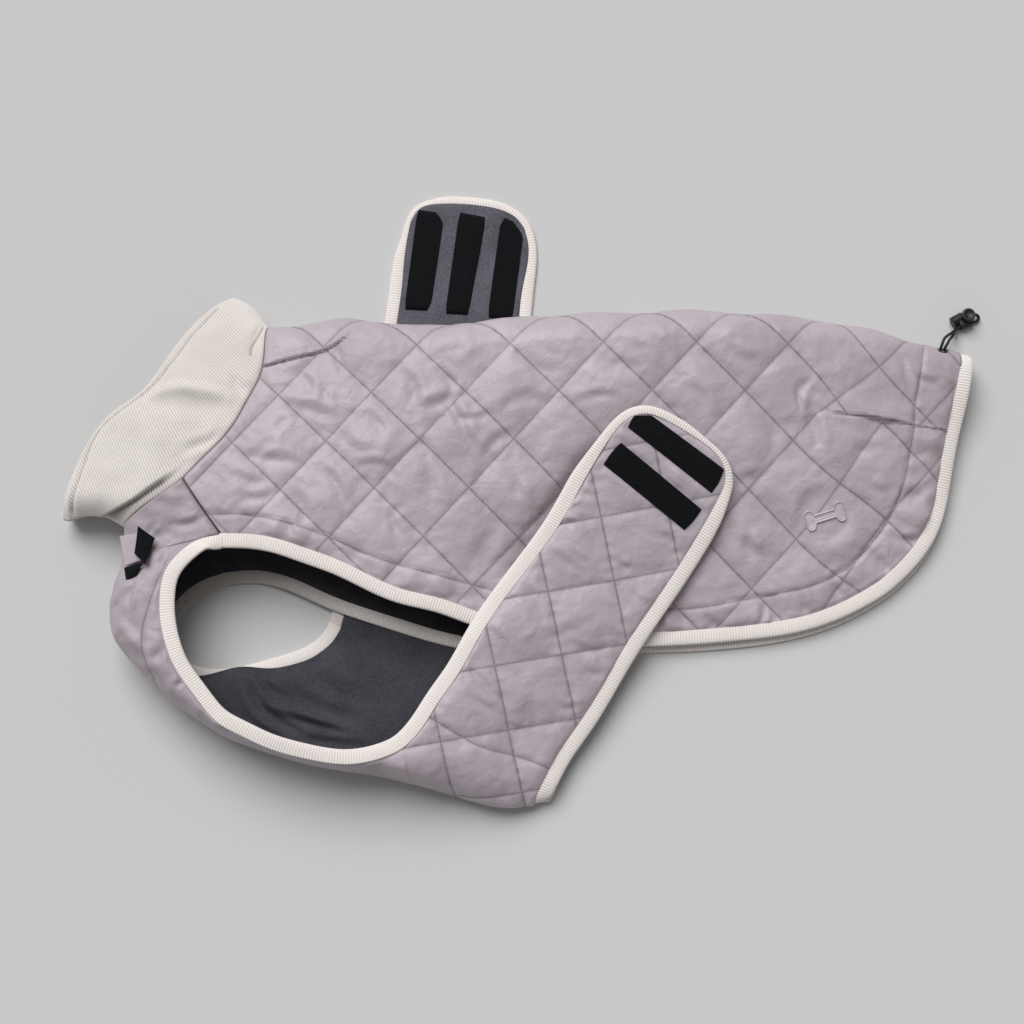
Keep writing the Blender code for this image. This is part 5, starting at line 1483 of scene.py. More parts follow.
def collar_seam():
    """The collar's seam as a function of a place round its ring: 0 at the nape, 1 at the
    throat, and 2 at the nape again, past the far half."""
    far_cells, fold_cells, turn_cells = 8, 5, 4
    front = spread(2)
    back = back_grid(front * SHOULDER_SHARE, spread(far_cells), spread(fold_cells), spread(far_cells))
    chest = chest_grid(front * SHOULDER_ROW / (len(CHEST) - 1), spread(turn_cells), spread(2))
    nape = far_cells + fold_cells // 2
    parts = [(back, np.s_[0, nape:]), (chest, np.s_[0, 1:-1]), (back, np.s_[0, :nape])]
    seam = np.concatenate([grid[take] for grid, take in parts])
    normals = np.concatenate([grid_normals(grid)[take] for grid, take in parts])
    away = np.cross(np.roll(seam, -1, axis=0) - np.roll(seam, 1, axis=0), normals)
    turn = back.shape[1] - nape + turn_cells // 2 - 1
    run = run_along(np.concatenate([seam, seam[:1]]))
    far = 1.0 + (run[turn:-1] - run[turn]) / (run[-1] - run[turn])
    at = np.concatenate([run[:turn] / run[turn], far])
    start = seam + unit(away) * COLLAR_START
    knots = np.concatenate([at[-4:] - 2.0, at, at[:4] + 2.0])
    span = knots[-1] - knots[0]
    ring = curve(np.concatenate([start[-4:], start, start[:4]]), (knots - knots[0]) / span)
    return lambda q: ring((q - knots[0]) / span)


def collar_edge(q):
    """The free edge: the far half lies on the surface, set in a little from the near one."""
    share = np.where(q > 1.0, 2.0 - q, q)
    edge = curve(COLLAR_EDGE)(share)
    far = smooth_step((q - 1.0) / 0.05) * smooth_step((2.0 - q) / 0.05)
    far = far * (q > 1.0)
    sag = np.sin(pi * np.clip(share, 0.0, 1.0)) ** 0.5 * COLLAR_FAR_INSET
    edge[..., 0] += 0.8 * sag * far
    edge[..., 1] -= 0.6 * sag * far
    edge[..., 2] += (COLLAR_THICK / 2 + 0.1 - edge[..., 2]) * far
    return edge


def collar_point(q, t, seam):
    """Place on the collar: straight across it from seam to edge, swollen where its near
    layer stands up, and drawn out at the nape and in at the throat."""
    q = np.mod(q, 2.0)
    share = np.where(q > 1.0, 2.0 - q, q)
    start = seam(q)
    start[..., 2] = np.maximum(start[..., 2], COLLAR_THICK / 2)
    point = start + (collar_edge(q) - start) * t[..., None]
    bulge = np.sin(pi * t)
    throat = np.exp(-((1.0 - share) / COLLAR_FOLD) ** 2)
    nape = np.exp(-(share / COLLAR_FOLD) ** 2)
    lift = np.where(q > 1.0, 0.0, np.sin(pi * share))
    point[..., 2] += COLLAR_PUFF * bulge * lift
    point[..., 1] += bulge * (COLLAR_PINCH * throat + COLLAR_NAPE * nape)
    point[..., 0] += bulge * COLLAR_NAPE * nape
    return point


def make_collar():
    """Corduroy ring: its wales lean forward from the seam to the free edge."""
    seam = collar_seam()
    place_round = np.arange(COLLAR_WALES * WALE_SAMPLES) / (COLLAR_WALES * WALE_SAMPLES) * 2.0
    w, t = crossed(np.append(place_round, 2.0), spread(COLLAR_ROWS))
    q = w - (WALE_LEAN[0] - WALE_LEAN[1] * np.cos(pi * w)) * t
    grid = collar_point(q, t, seam)
    grid[-1] = grid[0]
    margin = from_sides(runs(grid, 1), 1)
    x, y = grid[..., 0], grid[..., 1]
    up = smooth_step(grid_normals(grid)[..., 2] * 1.5 + 0.2)
    rib = np.abs(np.cos(pi * w * COLLAR_WALES / 2)) ** 0.8
    offset = COLLAR_THICK / 2 - 0.9 + 0.9 * smooth_step(margin / 3.5) ** 0.5
    offset = offset + cloth().wale / MM * (rib - 1.0)
    shape = 1.5 * creased(COLLAR_CREASES, x, y)
    shape += 0.5 * ripples(x, y, 60.0, 81) + 0.25 * ripples(x, y, 22.0, 82)
    step, step_run, _ = beside(COLLAR_STEP, x, y)
    body, begun = smooth_step((1.6 - step) / 2.4), smooth_step(step_run / 22.0)
    wide, close = np.exp(-(step / 26.0) ** 2), np.exp(-(step / 14.0) ** 2)
    shape += (3.0 * body * wide - 1.3 * (1.0 - body) * close) * begun
    stitched = beside(COLLAR_STITCHES, x, y)
    shape -= 1.2 * np.exp(-(stitched[0] / 1.7) ** 2)
    offset = np.maximum(offset + shape * up * smooth_step(margin / 6.0), -COLLAR_THICK / 2 + 0.3)
    # Painted shade below the overhanging step, fading across the strip next to the seam.
    tone = 0.30 * (1.0 - body) * wide * begun * up
    tuck = beside(COLLAR_TUCK, x, y)[0]
    hidden = 9.0 * (1.0 - up)
    # Distances from the lines that the finish paints with shade: under the step, in the tuck and along
    # the topstitching.
    seams = np.stack([np.abs(step - 1.2) + 9.0 * (1.0 - up * begun), np.abs(tuck) + hidden,
                      np.abs(stitched[0]) + hidden], axis=-1)
    points, groups, first = closed_shell(
        [grid], [[(0, np.s_[:-1, 0])], [(0, np.s_[:0:-1, -1])]], [offset], COLLAR_THICK / 2)
    values = padded_values(len(points), rib=rib.ravel()[first], tone=tone.ravel()[first],
                           seams=seams.reshape(-1, 3)[first])
    collar = add_piece("corduroy_collar", points, groups, "collar corduroy", "corduroy",
                       ["collar"], values)
    face = grid + grid_normals(grid) * offset[..., None]
    places = seam_stitches(face, stitched, up > 0.5, COLLAR_STITCH_PITCH)
    stitching = add_piece("collar_stitching", *stitch_mesh(places), "pale thread", "corduroy")


# ---- bindings
RIB_PITCH = 1.95
RIB_SAMPLES = 4
BINDING_STEP = RIB_PITCH / RIB_SAMPLES
PATH_REACH = 5.5             # softening of the edge's path, and of the way it faces
FACING_REACH = 14.0
END_REACH = 16.0             # over which an end turns square to the coat
BINDING_LAP = 1.3            # over the panel's edge
OUT_TILT = 0.4               # how much of the panel's slope the tape keeps
BINDING_HALF = 2.05          # half thickness, with panel and lining inside
# Profile round the folded tape: share of its width from the panel out, share of its half
# thickness up, and how much of the ribs shows there.
BINDING_FOLD = [
    (0.0, 0.1, 0.2), (0.005, 0.70, 0.8), (0.06, 0.93, 1.0), (0.14, 0.90, 1.0), (0.22, 0.94, 1.0),
    (0.36, 0.98, 1.0), (0.62, 0.94, 1.0), (0.86, 0.80, 1.0), (0.965, 0.52, 0.9), (1.0, 0.0, 0.5),
    (0.96, -0.58, 0.9), (0.80, -0.92, 1.0), (0.45, -1.0, 1.0), (0.12, -0.92, 1.0),
    (0.01, -0.60, 0.9),
]

# Where a panel's outline runs straight on at a corner of its grid.
FLAT_CORNERS = [WING_TIP[0][:2], WING_TIP[-1][:2], NEAR_TAIL[-1][:2]]


def along_edge(grids, stretches):
    """Points and normals along an edge made of stretches of grids' points."""
    points = np.concatenate([grids[k][take] for k, take in stretches])
    normals = np.concatenate([grid_normals(grids[k])[take] for k, take in stretches])
    return points, normals


def softened(values, reach):
    """Values along a line of even steps, each the mean of those round it, weighed by a
    bell of that reach; past the ends the line goes on turned about its end."""
    half = int(3 * reach / BINDING_STEP)
    bell = np.exp(-0.5 * (np.arange(-half, half + 1) * BINDING_STEP / reach) ** 2)
    bell /= bell.sum()
    longer = np.pad(values, ((half, half), (0, 0)), mode="reflect", reflect_type="odd")
    return np.stack([np.convolve(column, bell, "valid") for column in longer.T], axis=1)


def even_steps(line, values, pitch):
    """The line and its values, read off again at even steps of about that pitch."""
    run = run_along(line)
    count = int(round(run[-1] / pitch))
    at = np.linspace(0.0, run[-1], count + 1)
    return [np.stack([np.interp(at, run, column) for column in value.T], axis=1)
            for value in (line, values)]


def binding(name, grids, stretches, side, node_name):
    """Ribbed tape folded over a panel's free edge: the profile carried along the edge, its
    thickness rising and falling a little with each rib."""
    edge, normals = along_edge(grids, stretches)
    edge = np.concatenate([2 * edge[:1] - edge[1:2], edge, 2 * edge[-1:] - edge[-2:-1]])
    normals = np.concatenate([normals[:1], normals, normals[-1:]])
    edge, normals = even_steps(edge, normals, BINDING_STEP)
    normals = normals * away_from_corners(edge)[:, None]
    edge, normals = softened(edge, PATH_REACH), unit(softened(normals, FACING_REACH))
    ahead = unit(softened(np.gradient(edge, axis=0), PATH_REACH))
    out = unit(unit(np.cross(ahead, normals)) * (1.0, 1.0, OUT_TILT)) * side
    run = np.arange(len(edge)) * BINDING_STEP
    square = smooth_step(1.0 - np.minimum(run, run[-1] - run) / END_REACH)[:, None]
    out = unit(out + (np.array([0.1 * side, -0.995, 0.0]) - out) * square)
    up = unit(np.cross(out, ahead)) * side
    line = edge - normals * BINDING_SINK
    widths = binding_widths(edge)
    sway = 0.35 * np.sin(run / 23.0 + 1.7) * np.sin(run / 61.0) + 0.12 * np.sin(run / 7.3)
    full = 1.0 + 0.05 * np.sin(run / 17.0 + 0.6) * np.sin(run / 5.7)
    rib = np.minimum(1.0, 1.15 * np.abs(np.sin(pi * run / RIB_PITCH)))

    fold = np.array(BINDING_FOLD)
    reach = -BINDING_LAP + (widths - 0.35 + BINDING_LAP)[:, None] * fold[:, 0]
    reach = reach + sway[:, None] * (fold[:, 0] < 0.5) * 0.5
    lower = cloth().rib / MM * (1.0 - rib)[:, None] * fold[:, 2]
    half = BINDING_HALF * full[:, None] * fold[:, 1] - np.sign(fold[:, 1]) * lower
    ring = line[:, None] + out[:, None] * reach[..., None] + up[:, None] * half[..., None]
    ring[..., 2] = np.maximum(ring[..., 2], FLOOR_CLEAR)
    points, groups = tube_faces(ring, side < 0)
    # Painted shade: darker where the tape turns in against the panel, dotted with its ribs.
    near_seam = np.array([1.0, 0.8] + [0.0] * (len(fold) - 2))
    tone = (0.35 + 0.5 * (1.0 - rib))[:, None] * near_seam
    # Painted shadow of the near layer over the far bindings, low on the surface towards the neck.
    inside = smooth_step((-90.0 - edge[:, 0]) / 75.0) * (edge[:, 2] < 8.0) * (edge[:, 1] > -80.0)
    tone = np.maximum(tone, 0.45 * inside[:, None])
    shown = rib[:, None] * np.ones(len(fold))
    return add_piece(name, points, groups, "ribbed binding", "corduroy", [node_name],
                     {"rib": shown.ravel(), "tone": tone.ravel()})


def away_from_corners(edge):
    """How far the grid's normals hold along an edge, 0..1: not near its flat corners, where
    the cells have next to no area."""
    share = np.ones(len(edge))
    for x, y in FLAT_CORNERS:
        share *= smooth_step((np.hypot(edge[:, 0] - x, edge[:, 1] - y) - 16.0) / 6.0)
    return np.maximum(share, 1e-6)


def tube_sides(count, columns, closed=False):
    """Faces between rings of points one after another, and back to the first if closed."""
    i, j = np.arange(count if closed else count - 1)[:, None], np.arange(columns)
    here, ahead, after = i * columns, (i + 1) % count * columns, (j + 1) % columns
    return np.stack([here + j, here + after, ahead + after, ahead + j], axis=-1).reshape(-1, 4)


def tube_faces(ring, flip=False):
    """Points and faces of rings of points along a path, capped at both ends."""
    count, columns = ring.shape[:2]
    sides = tube_sides(count, columns)
    caps = np.array([np.arange(columns)[::-1], (count - 1) * columns + np.arange(columns)])
    if flip:
        sides, caps = sides[:, ::-1], caps[:, ::-1]
    return ring.reshape(-1, 3), [sides, caps]


def binding_widths(edge):
    """The belly panel's binding is narrower round both wing tips."""
    widths = np.full(len(edge), BINDING_WIDTH)
    for x, y, full, none, by in NARROW_BINDING:
        away = np.hypot(edge[:, 0] - x, edge[:, 1] - y)
        widths -= by * (1.0 - smooth_step((away - full) / (none - full)))
    return widths


def make_bindings():
    """One run round each panel's free edges, from shoulder to shoulder."""
    back = back_surface(PANEL_BACK)
    first = PANEL_BACK.front
    made = binding("back_edge_binding", [back], [
        (0, np.s_[first:, -1]), (0, np.s_[-1, -2:0:-1]), (0, np.s_[:first - 1:-1, 0])],
        1, "back_binding")
    strips = PANEL_BELLY
    chest, wings = belly_surfaces(strips)
    corner = strips.near + strips.turn + strips.flat
    made = binding("belly_edge_binding", [chest, wings], [
        (0, np.s_[strips.front:-1, 0]), (1, np.s_[0, strips.near::-1]), (1, np.s_[1:, 0]),
        (1, np.s_[-1, 1:]), (1, np.s_[-2::-1, -1]), (1, np.s_[0, -2:corner - 1:-1]),
        (0, np.s_[-2:strips.front - 1:-1, -1])], -1, "belly_binding")


# ---- tapes
# Corners cut off a strip, in millimetres: at its start and end, on its low and high side.
CLIP_REACH = 8.0
Clip = namedtuple("Clip", "start_low start_high end_low end_high")
TAPE_CLIPS = {
    "loop_strip_1": Clip(2.0, 9.0, 0.8, 1.2), "loop_strip_2": Clip(0.8, 1.0, 0.8, 0.8),
    "hook_strip_1": Clip(1.0, 1.0, 2.5, 6.0), "hook_strip_2": Clip(0.8, 0.8, 0.8, 1.0),
    "hook_strip_3": Clip(1.0, 3.0, 1.0, 9.0),
}


def above(surface, plan, tries=10, step=1e-3):
    """The surface's points above plan places: from one sample near their middle, both
    parameters go in Newton's steps, whose slopes are differences over a short step."""
    us, vs = crossed(spread(24), spread(24))
    gap = surface(us, vs)[..., :2] - plan.mean(axis=(0, 1))
    nearest = np.unravel_index(np.argmin((gap ** 2).sum(axis=-1)), us.shape)
    u, v = np.full(plan.shape[:-1], us[nearest]), np.full(plan.shape[:-1], vs[nearest])
    for _ in range(tries):
        here = surface(u, v)[..., :2]
        along, across = ((surface(u + step, v)[..., :2] - here) / step,
                         (surface(u, v + step)[..., :2] - here) / step)
        area = along[..., 0] * across[..., 1] - along[..., 1] * across[..., 0]
        gap = plan - here
        u = u + (gap[..., 0] * across[..., 1] - gap[..., 1] * across[..., 0]) / area
        v = v + (along[..., 0] * gap[..., 1] - along[..., 1] * gap[..., 0]) / area
        u, v = np.clip(u, 0.0, 1.0 - 2 * step), np.clip(v, 0.0, 1.0 - 2 * step)
    return surface(u, v)


def face_up(grid, *others):
    """The grid and others like it, turned round where its face would look down."""
    turn = -1 if grid_normals(grid)[..., 2].mean() < 0 else 1
    return [value[:, ::turn] for value in (grid, *others)]


def strip_grid(surface, strip, clip, lengthwise, crosswise):
    """Grid over a strip that lies on a surface, its ends drawn in where they are cut off,
    and its distances from its border."""
    start_low, start_high, end_high, end_low = np.array(strip[1:], float)
    length = (math.dist(start_low, end_low) + math.dist(start_high, end_high)) / 2
    width = (math.dist(start_low, start_high) + math.dist(end_low, end_high)) / 2
    s, t = crossed(spread(lengthwise), spread(crosswise))
    low = np.maximum(1.0 - t * width / CLIP_REACH, 0.0) ** 1.3
    high = np.maximum(1.0 - (1.0 - t) * width / CLIP_REACH, 0.0) ** 1.3
    cut_start = (clip.start_low * low + clip.start_high * high) / length
    cut_end = (clip.end_low * low + clip.end_high * high) / length
    along = (cut_start + s * (1.0 - cut_start - cut_end))[..., None]
    t = t[..., None]
    places = ((1 - along) * ((1 - t) * start_low + t * start_high)
              + along * ((1 - t) * end_low + t * end_high))
    grid = above(surface, places)
    grid, = face_up(grid)
    return grid, from_border(grid)


def leaf(name, grid, outer, inner, look, slot, nodes, values=None):
    """Closed thin piece from one grid: its face moved out, a rim, and its back."""
    points, groups, first = closed_shell([grid], [BORDER], [outer], inner)
    given = {key: data.ravel()[first] for key, data in (values or {}).items()}
    return add_piece(name, points, groups, look, slot, nodes, padded_values(len(points), **given))


def make_tapes():
    """Hook strips on the far wing and loop strips on the near one: soft flat pads, sewn
    down along their border, with a rough face."""
    bases = [(strip, near_wing, SHELL / 2, LOOP_CUT) for strip in LOOP_STRIPS]
    bases += [(strip, far_wing, SHELL / 2 + SEAM_GAP + LINING, HOOK_CUT) for strip in HOOK_STRIPS]
    for number, (strip, surface, base, cut) in enumerate(bases):
        grid, edge = strip_grid(surface, strip, TAPE_CLIPS[strip.name], 88, 24)
        x, y = grid[..., 0], grid[..., 1]
        rough = 0.07 * ripples(x, y, 1.7, 90 + number) + 0.05 * ripples(x, y, 9.0, 120 + number)
        pressed = smooth_step(edge / 1.2) ** 0.5
        sewn = 0.28 * np.exp(-((edge - 2.0) / 0.55) ** 2)
        top = base + TAPE_RISE + TAPE_THICK
        offset = top - 0.75 * (1.0 - pressed) - sewn + rough * pressed
        made = leaf(strip.name.replace("strip", "tape"), grid, offset, -(base + 0.1),
                    "hook and loop tape", "tape", [strip.name])


# ---- throat closure
def bent_plate(corners, cells, bow, twist=0.0):
    """Grid between four corners in space, bowed up across its middle and, by twist, along
    a ridge between two of its corners."""
    first, second, third, fourth = np.array(corners, float)
    s, t = crossed(spread(cells), spread(cells))
    a, b = s[..., None], t[..., None]
    grid = (1 - a) * (1 - b) * first + a * (1 - b) * second + a * b * third + (1 - a) * b * fourth
    ridge = np.exp(-((s - t) / 0.16) ** 2)
    grid[..., 2] += bow * np.sin(pi * s) * np.sin(pi * t) + twist * ridge
    return face_up(grid)[0]


def make_throat():
    """Tab, hook and loop that close the coat at the throat: small stiff leaves."""
    half = THROAT_THICK / 2
    parts = [
        ("throat_strap", "throat_tab", THROAT_TAB, 0.8, 0.0, "plain satin", "satin", (0.021, 0.017)),
        ("throat_hook_tape", "throat_hook", THROAT_HOOK, 0.3, 0.9, "hook and loop tape", "tape",
         (0.021, 0.0125)),
        ("throat_loop_tape", "throat_loop", THROAT_LOOP, 0.5, 0.0, "hook and loop tape", "tape",
         (0.012, 0.011)),
    ]
    for name, old, corners, bow, twist, look, slot, flat in parts:
        grid = bent_plate(corners, 32, bow, twist)
        rough = 0.05 * ripples(grid[..., 0], grid[..., 1], 2.2, 140)
        offset = half - 0.4 * (1.0 - smooth_step(from_border(grid))) + rough
        made = leaf(name, grid, offset, half, look, slot, [old])


# ---- badge
def bone_half_width(a):
    """Half width of the badge's bone at a distance along it: a bar between two knobs."""
    knob = BADGE_KNOB * 0.95
    from_knob = (np.abs(a) - (BADGE_LENGTH / 2 - knob / 2)) / (knob / 2)
    round_end = np.sqrt(np.clip(1.0 - from_knob ** 2, 0.10, 1.0))
    full = BADGE_BAR + (BADGE_KNOB - BADGE_BAR) * round_end
    return np.where(from_knob > -1.0, full, BADGE_BAR)


def make_badge():
    """Raised bone on the near flank, in the satin's colour, with a corded outline and two
    rows of stitching inside it."""
    a, t = crossed(np.linspace(-0.5, 0.5, 97) * BADGE_LENGTH, np.linspace(-1.0, 1.0, 41))
    b = bone_half_width(a) * t
    cos, sin = math.cos(BADGE_TURN), math.sin(BADGE_TURN)
    x, y = BADGE_AT[0] + a * cos - b * sin, BADGE_AT[1] + a * sin + b * cos
    grid = with_height(np.stack([x, y], axis=-1), near_height)
    grid, a, t = face_up(grid, a, t)
    ends = (BADGE_LENGTH / 2 - np.abs(a)) * 1.6
    edge = np.minimum((1.0 - np.abs(t)) * bone_half_width(a), ends)
    base = SHELL / 2
    rim = np.exp(-((edge - 0.9) / 0.75) ** 2)
    inner = np.exp(-((edge - 2.6) / 0.5) ** 2) * 0.25
    offset = base + 0.50 + 0.95 * rim + inner - 0.5 * np.exp(-(edge / 0.35) ** 2)
    # Painted shade in the grooves: at the outline's foot and between the cord and the inner row.
    tone = 0.42 * np.exp(-(edge / 0.4) ** 2) + 0.30 * np.exp(-((edge - 1.9) / 0.4) ** 2)
    leaf("bone_badge", grid, offset, -base + 0.5, "badge silk", "satin", ["flank_badge"],
         {"tone": tone})


# ---- cord and lock
def swept(path, radius, sides):
    """Closed ring of wire round a closed path: a circle carried along it."""
    ahead = unit(np.roll(path, -1, axis=0) - np.roll(path, 1, axis=0))
    out = path - path.mean(axis=0)
    out = unit(out - (out * ahead).sum(axis=1, keepdims=True) * ahead)
    up = np.cross(ahead, out)
    angle = 2 * pi * np.arange(sides) / sides
    ring = (path[:, None] + radius * (np.cos(angle)[None, :, None] * out[:, None]
                                      + np.sin(angle)[None, :, None] * up[:, None]))
    return ring.reshape(-1, 3), [tube_sides(len(path), sides, closed=True)]


def make_eyelet():
    """Sewn eyelet for the cord: an oval of thick thread on the spine fold."""
    s = np.array([EYELET_SHARE])
    here, ahead = back_fold(s, np.array([EYELET_TURN, EYELET_TURN + 0.01]))[0]
    after = back_fold(s + 0.01, np.array([EYELET_TURN]))[0, 0]
    along, across = unit(after - here), unit(ahead - here)
    up = np.cross(across, along)
    up *= np.sign(up[2])
    middle = here + up * (SHELL / 2 + EYELET_WIRE + TAPE_RISE)
    angle = 2 * pi * np.arange(160) / 160
    wobble = 1.0 + 0.05 * np.sin(40 * angle)
    ring = (middle + (np.cos(angle) * EYELET_LENGTH / 2 * wobble)[:, None] * along
            + (np.sin(angle) * EYELET_WIDTH / 2 * wobble)[:, None] * across)
    add_piece("cord_eyelet", *swept(ring, EYELET_WIRE * 1.25, 12), "elastic cord", "cord", ["eyelet"])


def make_drawcord():
    """The elastic cord: one open curve along its route, through its lock."""
    on_it = make_lock()
    points = place(curve(CORD_ROUTE)(np.linspace(0.0, 1.0, 4 * CORD_POINTS)))
    data = bpy.data.curves.new("elastic_drawcord", "CURVE")
    data.dimensions = "3D"
    data.bevel_depth = CORD / 2 * MM
    data.bevel_resolution = 5
    data.use_fill_caps = True
    spline = data.splines.new("POLY")
    spline.points.add(len(points) - 1)
    spline.points.foreach_set("co", np.c_[points, np.ones(len(points))].ravel())
    spline.use_smooth = True
    data.materials.append(finish("elastic cord"))
    cord = in_scene("elastic_drawcord", data)
    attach(cord, "root")
    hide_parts("drawcord")
    run_along(points)[-1]


def turned(profile, start, end, sides=48):
    """Closed solid turned about the line from start to end: (distance along it, radius)."""
    start, end = np.array(start, float), np.array(end, float)
    axis = unit(end - start)
    across = unit(np.cross(axis, (0.0, 0.0, 1.0) if abs(axis[2]) < 0.9 else (1.0, 0.0, 0.0)))
    other = np.cross(axis, across)
    angle = 2 * pi * np.arange(sides) / sides
    ring = np.cos(angle)[:, None] * across + np.sin(angle)[:, None] * other
    along, radius = np.array(profile, float).T
    rings = start + axis * along[:, None, None] + ring[None] * radius[:, None, None]
    return tube_faces(rings)


def in_lock(along, across):
    """Plan point from distances along and across the lock's direction."""
    (x, y), (dx, dy) = LOCK_ENTRY, LOCK_ALONG
    return np.stack([x + dx * along - dy * across, y + dy * along + dx * across], axis=-1)


def lock_block():
    """Tube of rounded section round the slot: out over its outer face and back through the
    slot, which widens towards the cord's loop."""
    low, high, right, left = LOCK_BLOCK
    angle = 2 * pi * np.arange(56) / 56
    square = (np.abs(np.cos(angle)) ** 5 + np.abs(np.sin(angle)) ** 5) ** -0.2
    cos, sin = np.cos(angle) * square, np.sin(angle) * square
    rounding = np.sin(np.linspace(0.0, pi / 2, 5))
    # Round the wall: distance along the lock and how far from the slot to the outer face.
    bend = [(1.0 - r, 1.0 - 0.35 * (1.0 - c)) for r, c in zip(rounding, rounding[::-1])]
    front = [(low + inward, share) for inward, share in bend[::-1]]
    back = [(high - inward, share) for inward, share in bend]
    wall = np.array([(low, 0.0), *front, *back, (high, 0.0), ((low + high) / 2, 0.0)])
    along, share = wall[:, :1], wall[:, 1:]
    reach = (along - LOCK_SLOT[0][0]) / (LOCK_SLOT[1][0] - LOCK_SLOT[0][0])
    slot_left = LOCK_SLOT[3][1] + (LOCK_SLOT[2][1] - LOCK_SLOT[3][1]) * reach
    slot_middle, slot_half = (slot_left + LOCK_SLOT[0][1]) / 2, (slot_left - LOCK_SLOT[0][1]) / 2
    middle = slot_middle + ((left + right) / 2 - slot_middle) * share
    half = slot_half + ((left - right) / 2 - slot_half) * share
    slot_z, slot_up = (SLOT_LOW + SLOT_HIGH) / 2, (SLOT_HIGH - SLOT_LOW) / 2
    height = slot_z + (LOCK_HEIGHT / 2 - slot_z) * share
    up = slot_up + (LOCK_HEIGHT / 2 - slot_up) * share
    plan = in_lock(np.broadcast_to(along, (len(wall), len(angle))), middle + half * cos)
    ring = np.concatenate([plan, (height + up * sin)[..., None]], axis=-1)
    return ring.reshape(-1, 3), [tube_sides(*ring.shape[:2], closed=True)]


def joined_meshes(parts):
    """Several meshes' points and faces as one."""
    starts = np.cumsum([0] + [len(points) for points, _ in parts[:-1]])
    points = np.concatenate([points for points, _ in parts])
    return points, [group + begin for (_, groups), begin in zip(parts, starts) for group in groups]


def make_lock():
    """Cord lock: block with its slot, ribbed barrel, and a dished button on top."""
    height = BARREL_RADIUS + BARREL_RIB
    length = math.dist(BARREL_END, BARREL_ROOT)
    t = spread(60)
    ribs = BARREL_RIB * (0.5 - 0.5 * np.cos(2 * pi * BARREL_RIBS * t)) ** 0.6
    dome = np.sqrt(1.0 - (1.0 - np.clip(t / 0.10, 0.0, 1.0)) ** 2)
    radius = (BARREL_RADIUS + ribs) * (0.62 + 0.38 * dome)
    barrel = turned(np.stack([t * length, radius], axis=1), (*BARREL_END, height),
                    (*BARREL_ROOT, height))
    body = add_piece("lock_body", *joined_meshes([lock_block(), barrel]), "black plastic", "plastic",
                     ["cord_lock"])
    base = max(LOCK_HEIGHT, 2 * height) + SEAM_GAP
    top, rim = BUTTON_HEIGHT, BUTTON_RADIUS
    crown = [(0.0, rim - 0.7), (0.15, rim - 0.2), (0.5, rim), (top - 1.0, rim), (top - 0.4, rim - 0.25),
             (top - 0.1, rim - 0.7), (top, rim - 1.2), (top - 0.15, rim - 1.7), (top - 0.8, rim - 2.3),
             (top - 1.1, rim - 3.0), (top - 1.2, rim - 4.0), (top - 1.2, rim - 4.7)]
    cap = add_piece("lock_cap", *turned(crown, (*BUTTON_AT, base), (*BUTTON_AT, base + 1.0)),
                    "black plastic", "plastic", ["lock_button"])
    return [body, cap]


# ---- stage
TARGET = np.array([0.0, 0.0, 20.0])
CAMERA_AWAY = 1500.0
CAMERA_RISE = math.radians(78)
CAMERA_LENS = 74.27
KEY_FROM = (-1.3, 2.6, 4.0)
KEY_SPREAD = 0.8


def make_stage():
    """Camera, pale floor, one large soft light from the upper left and an even sky."""
    scene = bpy.context.scene
    look = scene.coat_stage
    away = np.array([0.0, -math.cos(CAMERA_RISE), math.sin(CAMERA_RISE)]) * CAMERA_AWAY
    camera = in_scene("camera", bpy.data.cameras.new("camera"))
    camera.location = place(TARGET + away)
    camera.rotation_euler = (pi / 2 - CAMERA_RISE, 0.0, 0.0)
    camera.data.lens = CAMERA_LENS
    camera.data.sensor_width = 36.0
    scene.camera = camera

    half = look.floor / 2
    mesh = bpy.data.meshes.new("floor")
    mesh.from_pydata([(-half, -half, 0.0), (half, -half, 0.0), (half, half, 0.0), (-half, half, 0.0)],
                     [], [(0, 1, 2, 3)])
    mesh.materials.append(finish("pale board"))
    floor = in_scene("floor", mesh)

    data = bpy.data.lights.new("key_light", "SUN")
    data.angle, data.energy = KEY_SPREAD, look.key
    lamp = in_scene("key_light", data)
    lamp.rotation_euler = Vector(KEY_FROM).to_track_quat("Z", "Y").to_euler()

    world = bpy.data.worlds.new("soft sky")
    world.use_nodes = True
    background = world.node_tree.nodes["Background"]
    background.inputs["Color"].default_value = (1.0, 1.0, 1.0, 1.0)
    background.inputs["Strength"].default_value = look.sky
    scene.world = world
    scene.view_settings.view_transform = "Standard"


# ---- add-on
def dye(name, description, default):
    """A colour that can be changed in the panel."""
    return FloatVectorProperty(name=name, description=description, default=default,
                               subtype="COLOR", min=0.0, max=1.0)


def amount(name, description, default, unit="LENGTH"):
    """A size or share that can be changed in the panel."""
    return FloatProperty(name=name, description=description, default=default, unit=unit)


class CoatColours(PropertyGroup):
    satin: dye("Satin", "Quilted outside", (0.487, 0.420, 0.465))
    fleece: dye("Fleece", "Lining", (0.115, 0.112, 0.134))
    corduroy: dye("Corduroy", "Collar", (0.86, 0.815, 0.785))
    # The groove colours serve both the pile's random tone and painted shade between wales and ribs and
    # in the collar's lines.
    corduroy_deep: dye("Corduroy grooves", "Between the collar's wales", (0.31, 0.255, 0.215))
    binding: dye("Binding", "Ribbed bindings", (0.93, 0.87, 0.835))
    binding_deep: dye("Binding grooves", "Between the bindings' ribs", (0.50, 0.44, 0.405))
    tape: dye("Tape", "Hook and loop tapes and the cord", (0.006, 0.0065, 0.0075))
    plastic: dye("Plastic", "Cord lock", (0.009, 0.009, 0.010))
    floor: dye("Floor", "Pale board", (0.60, 0.598, 0.598))


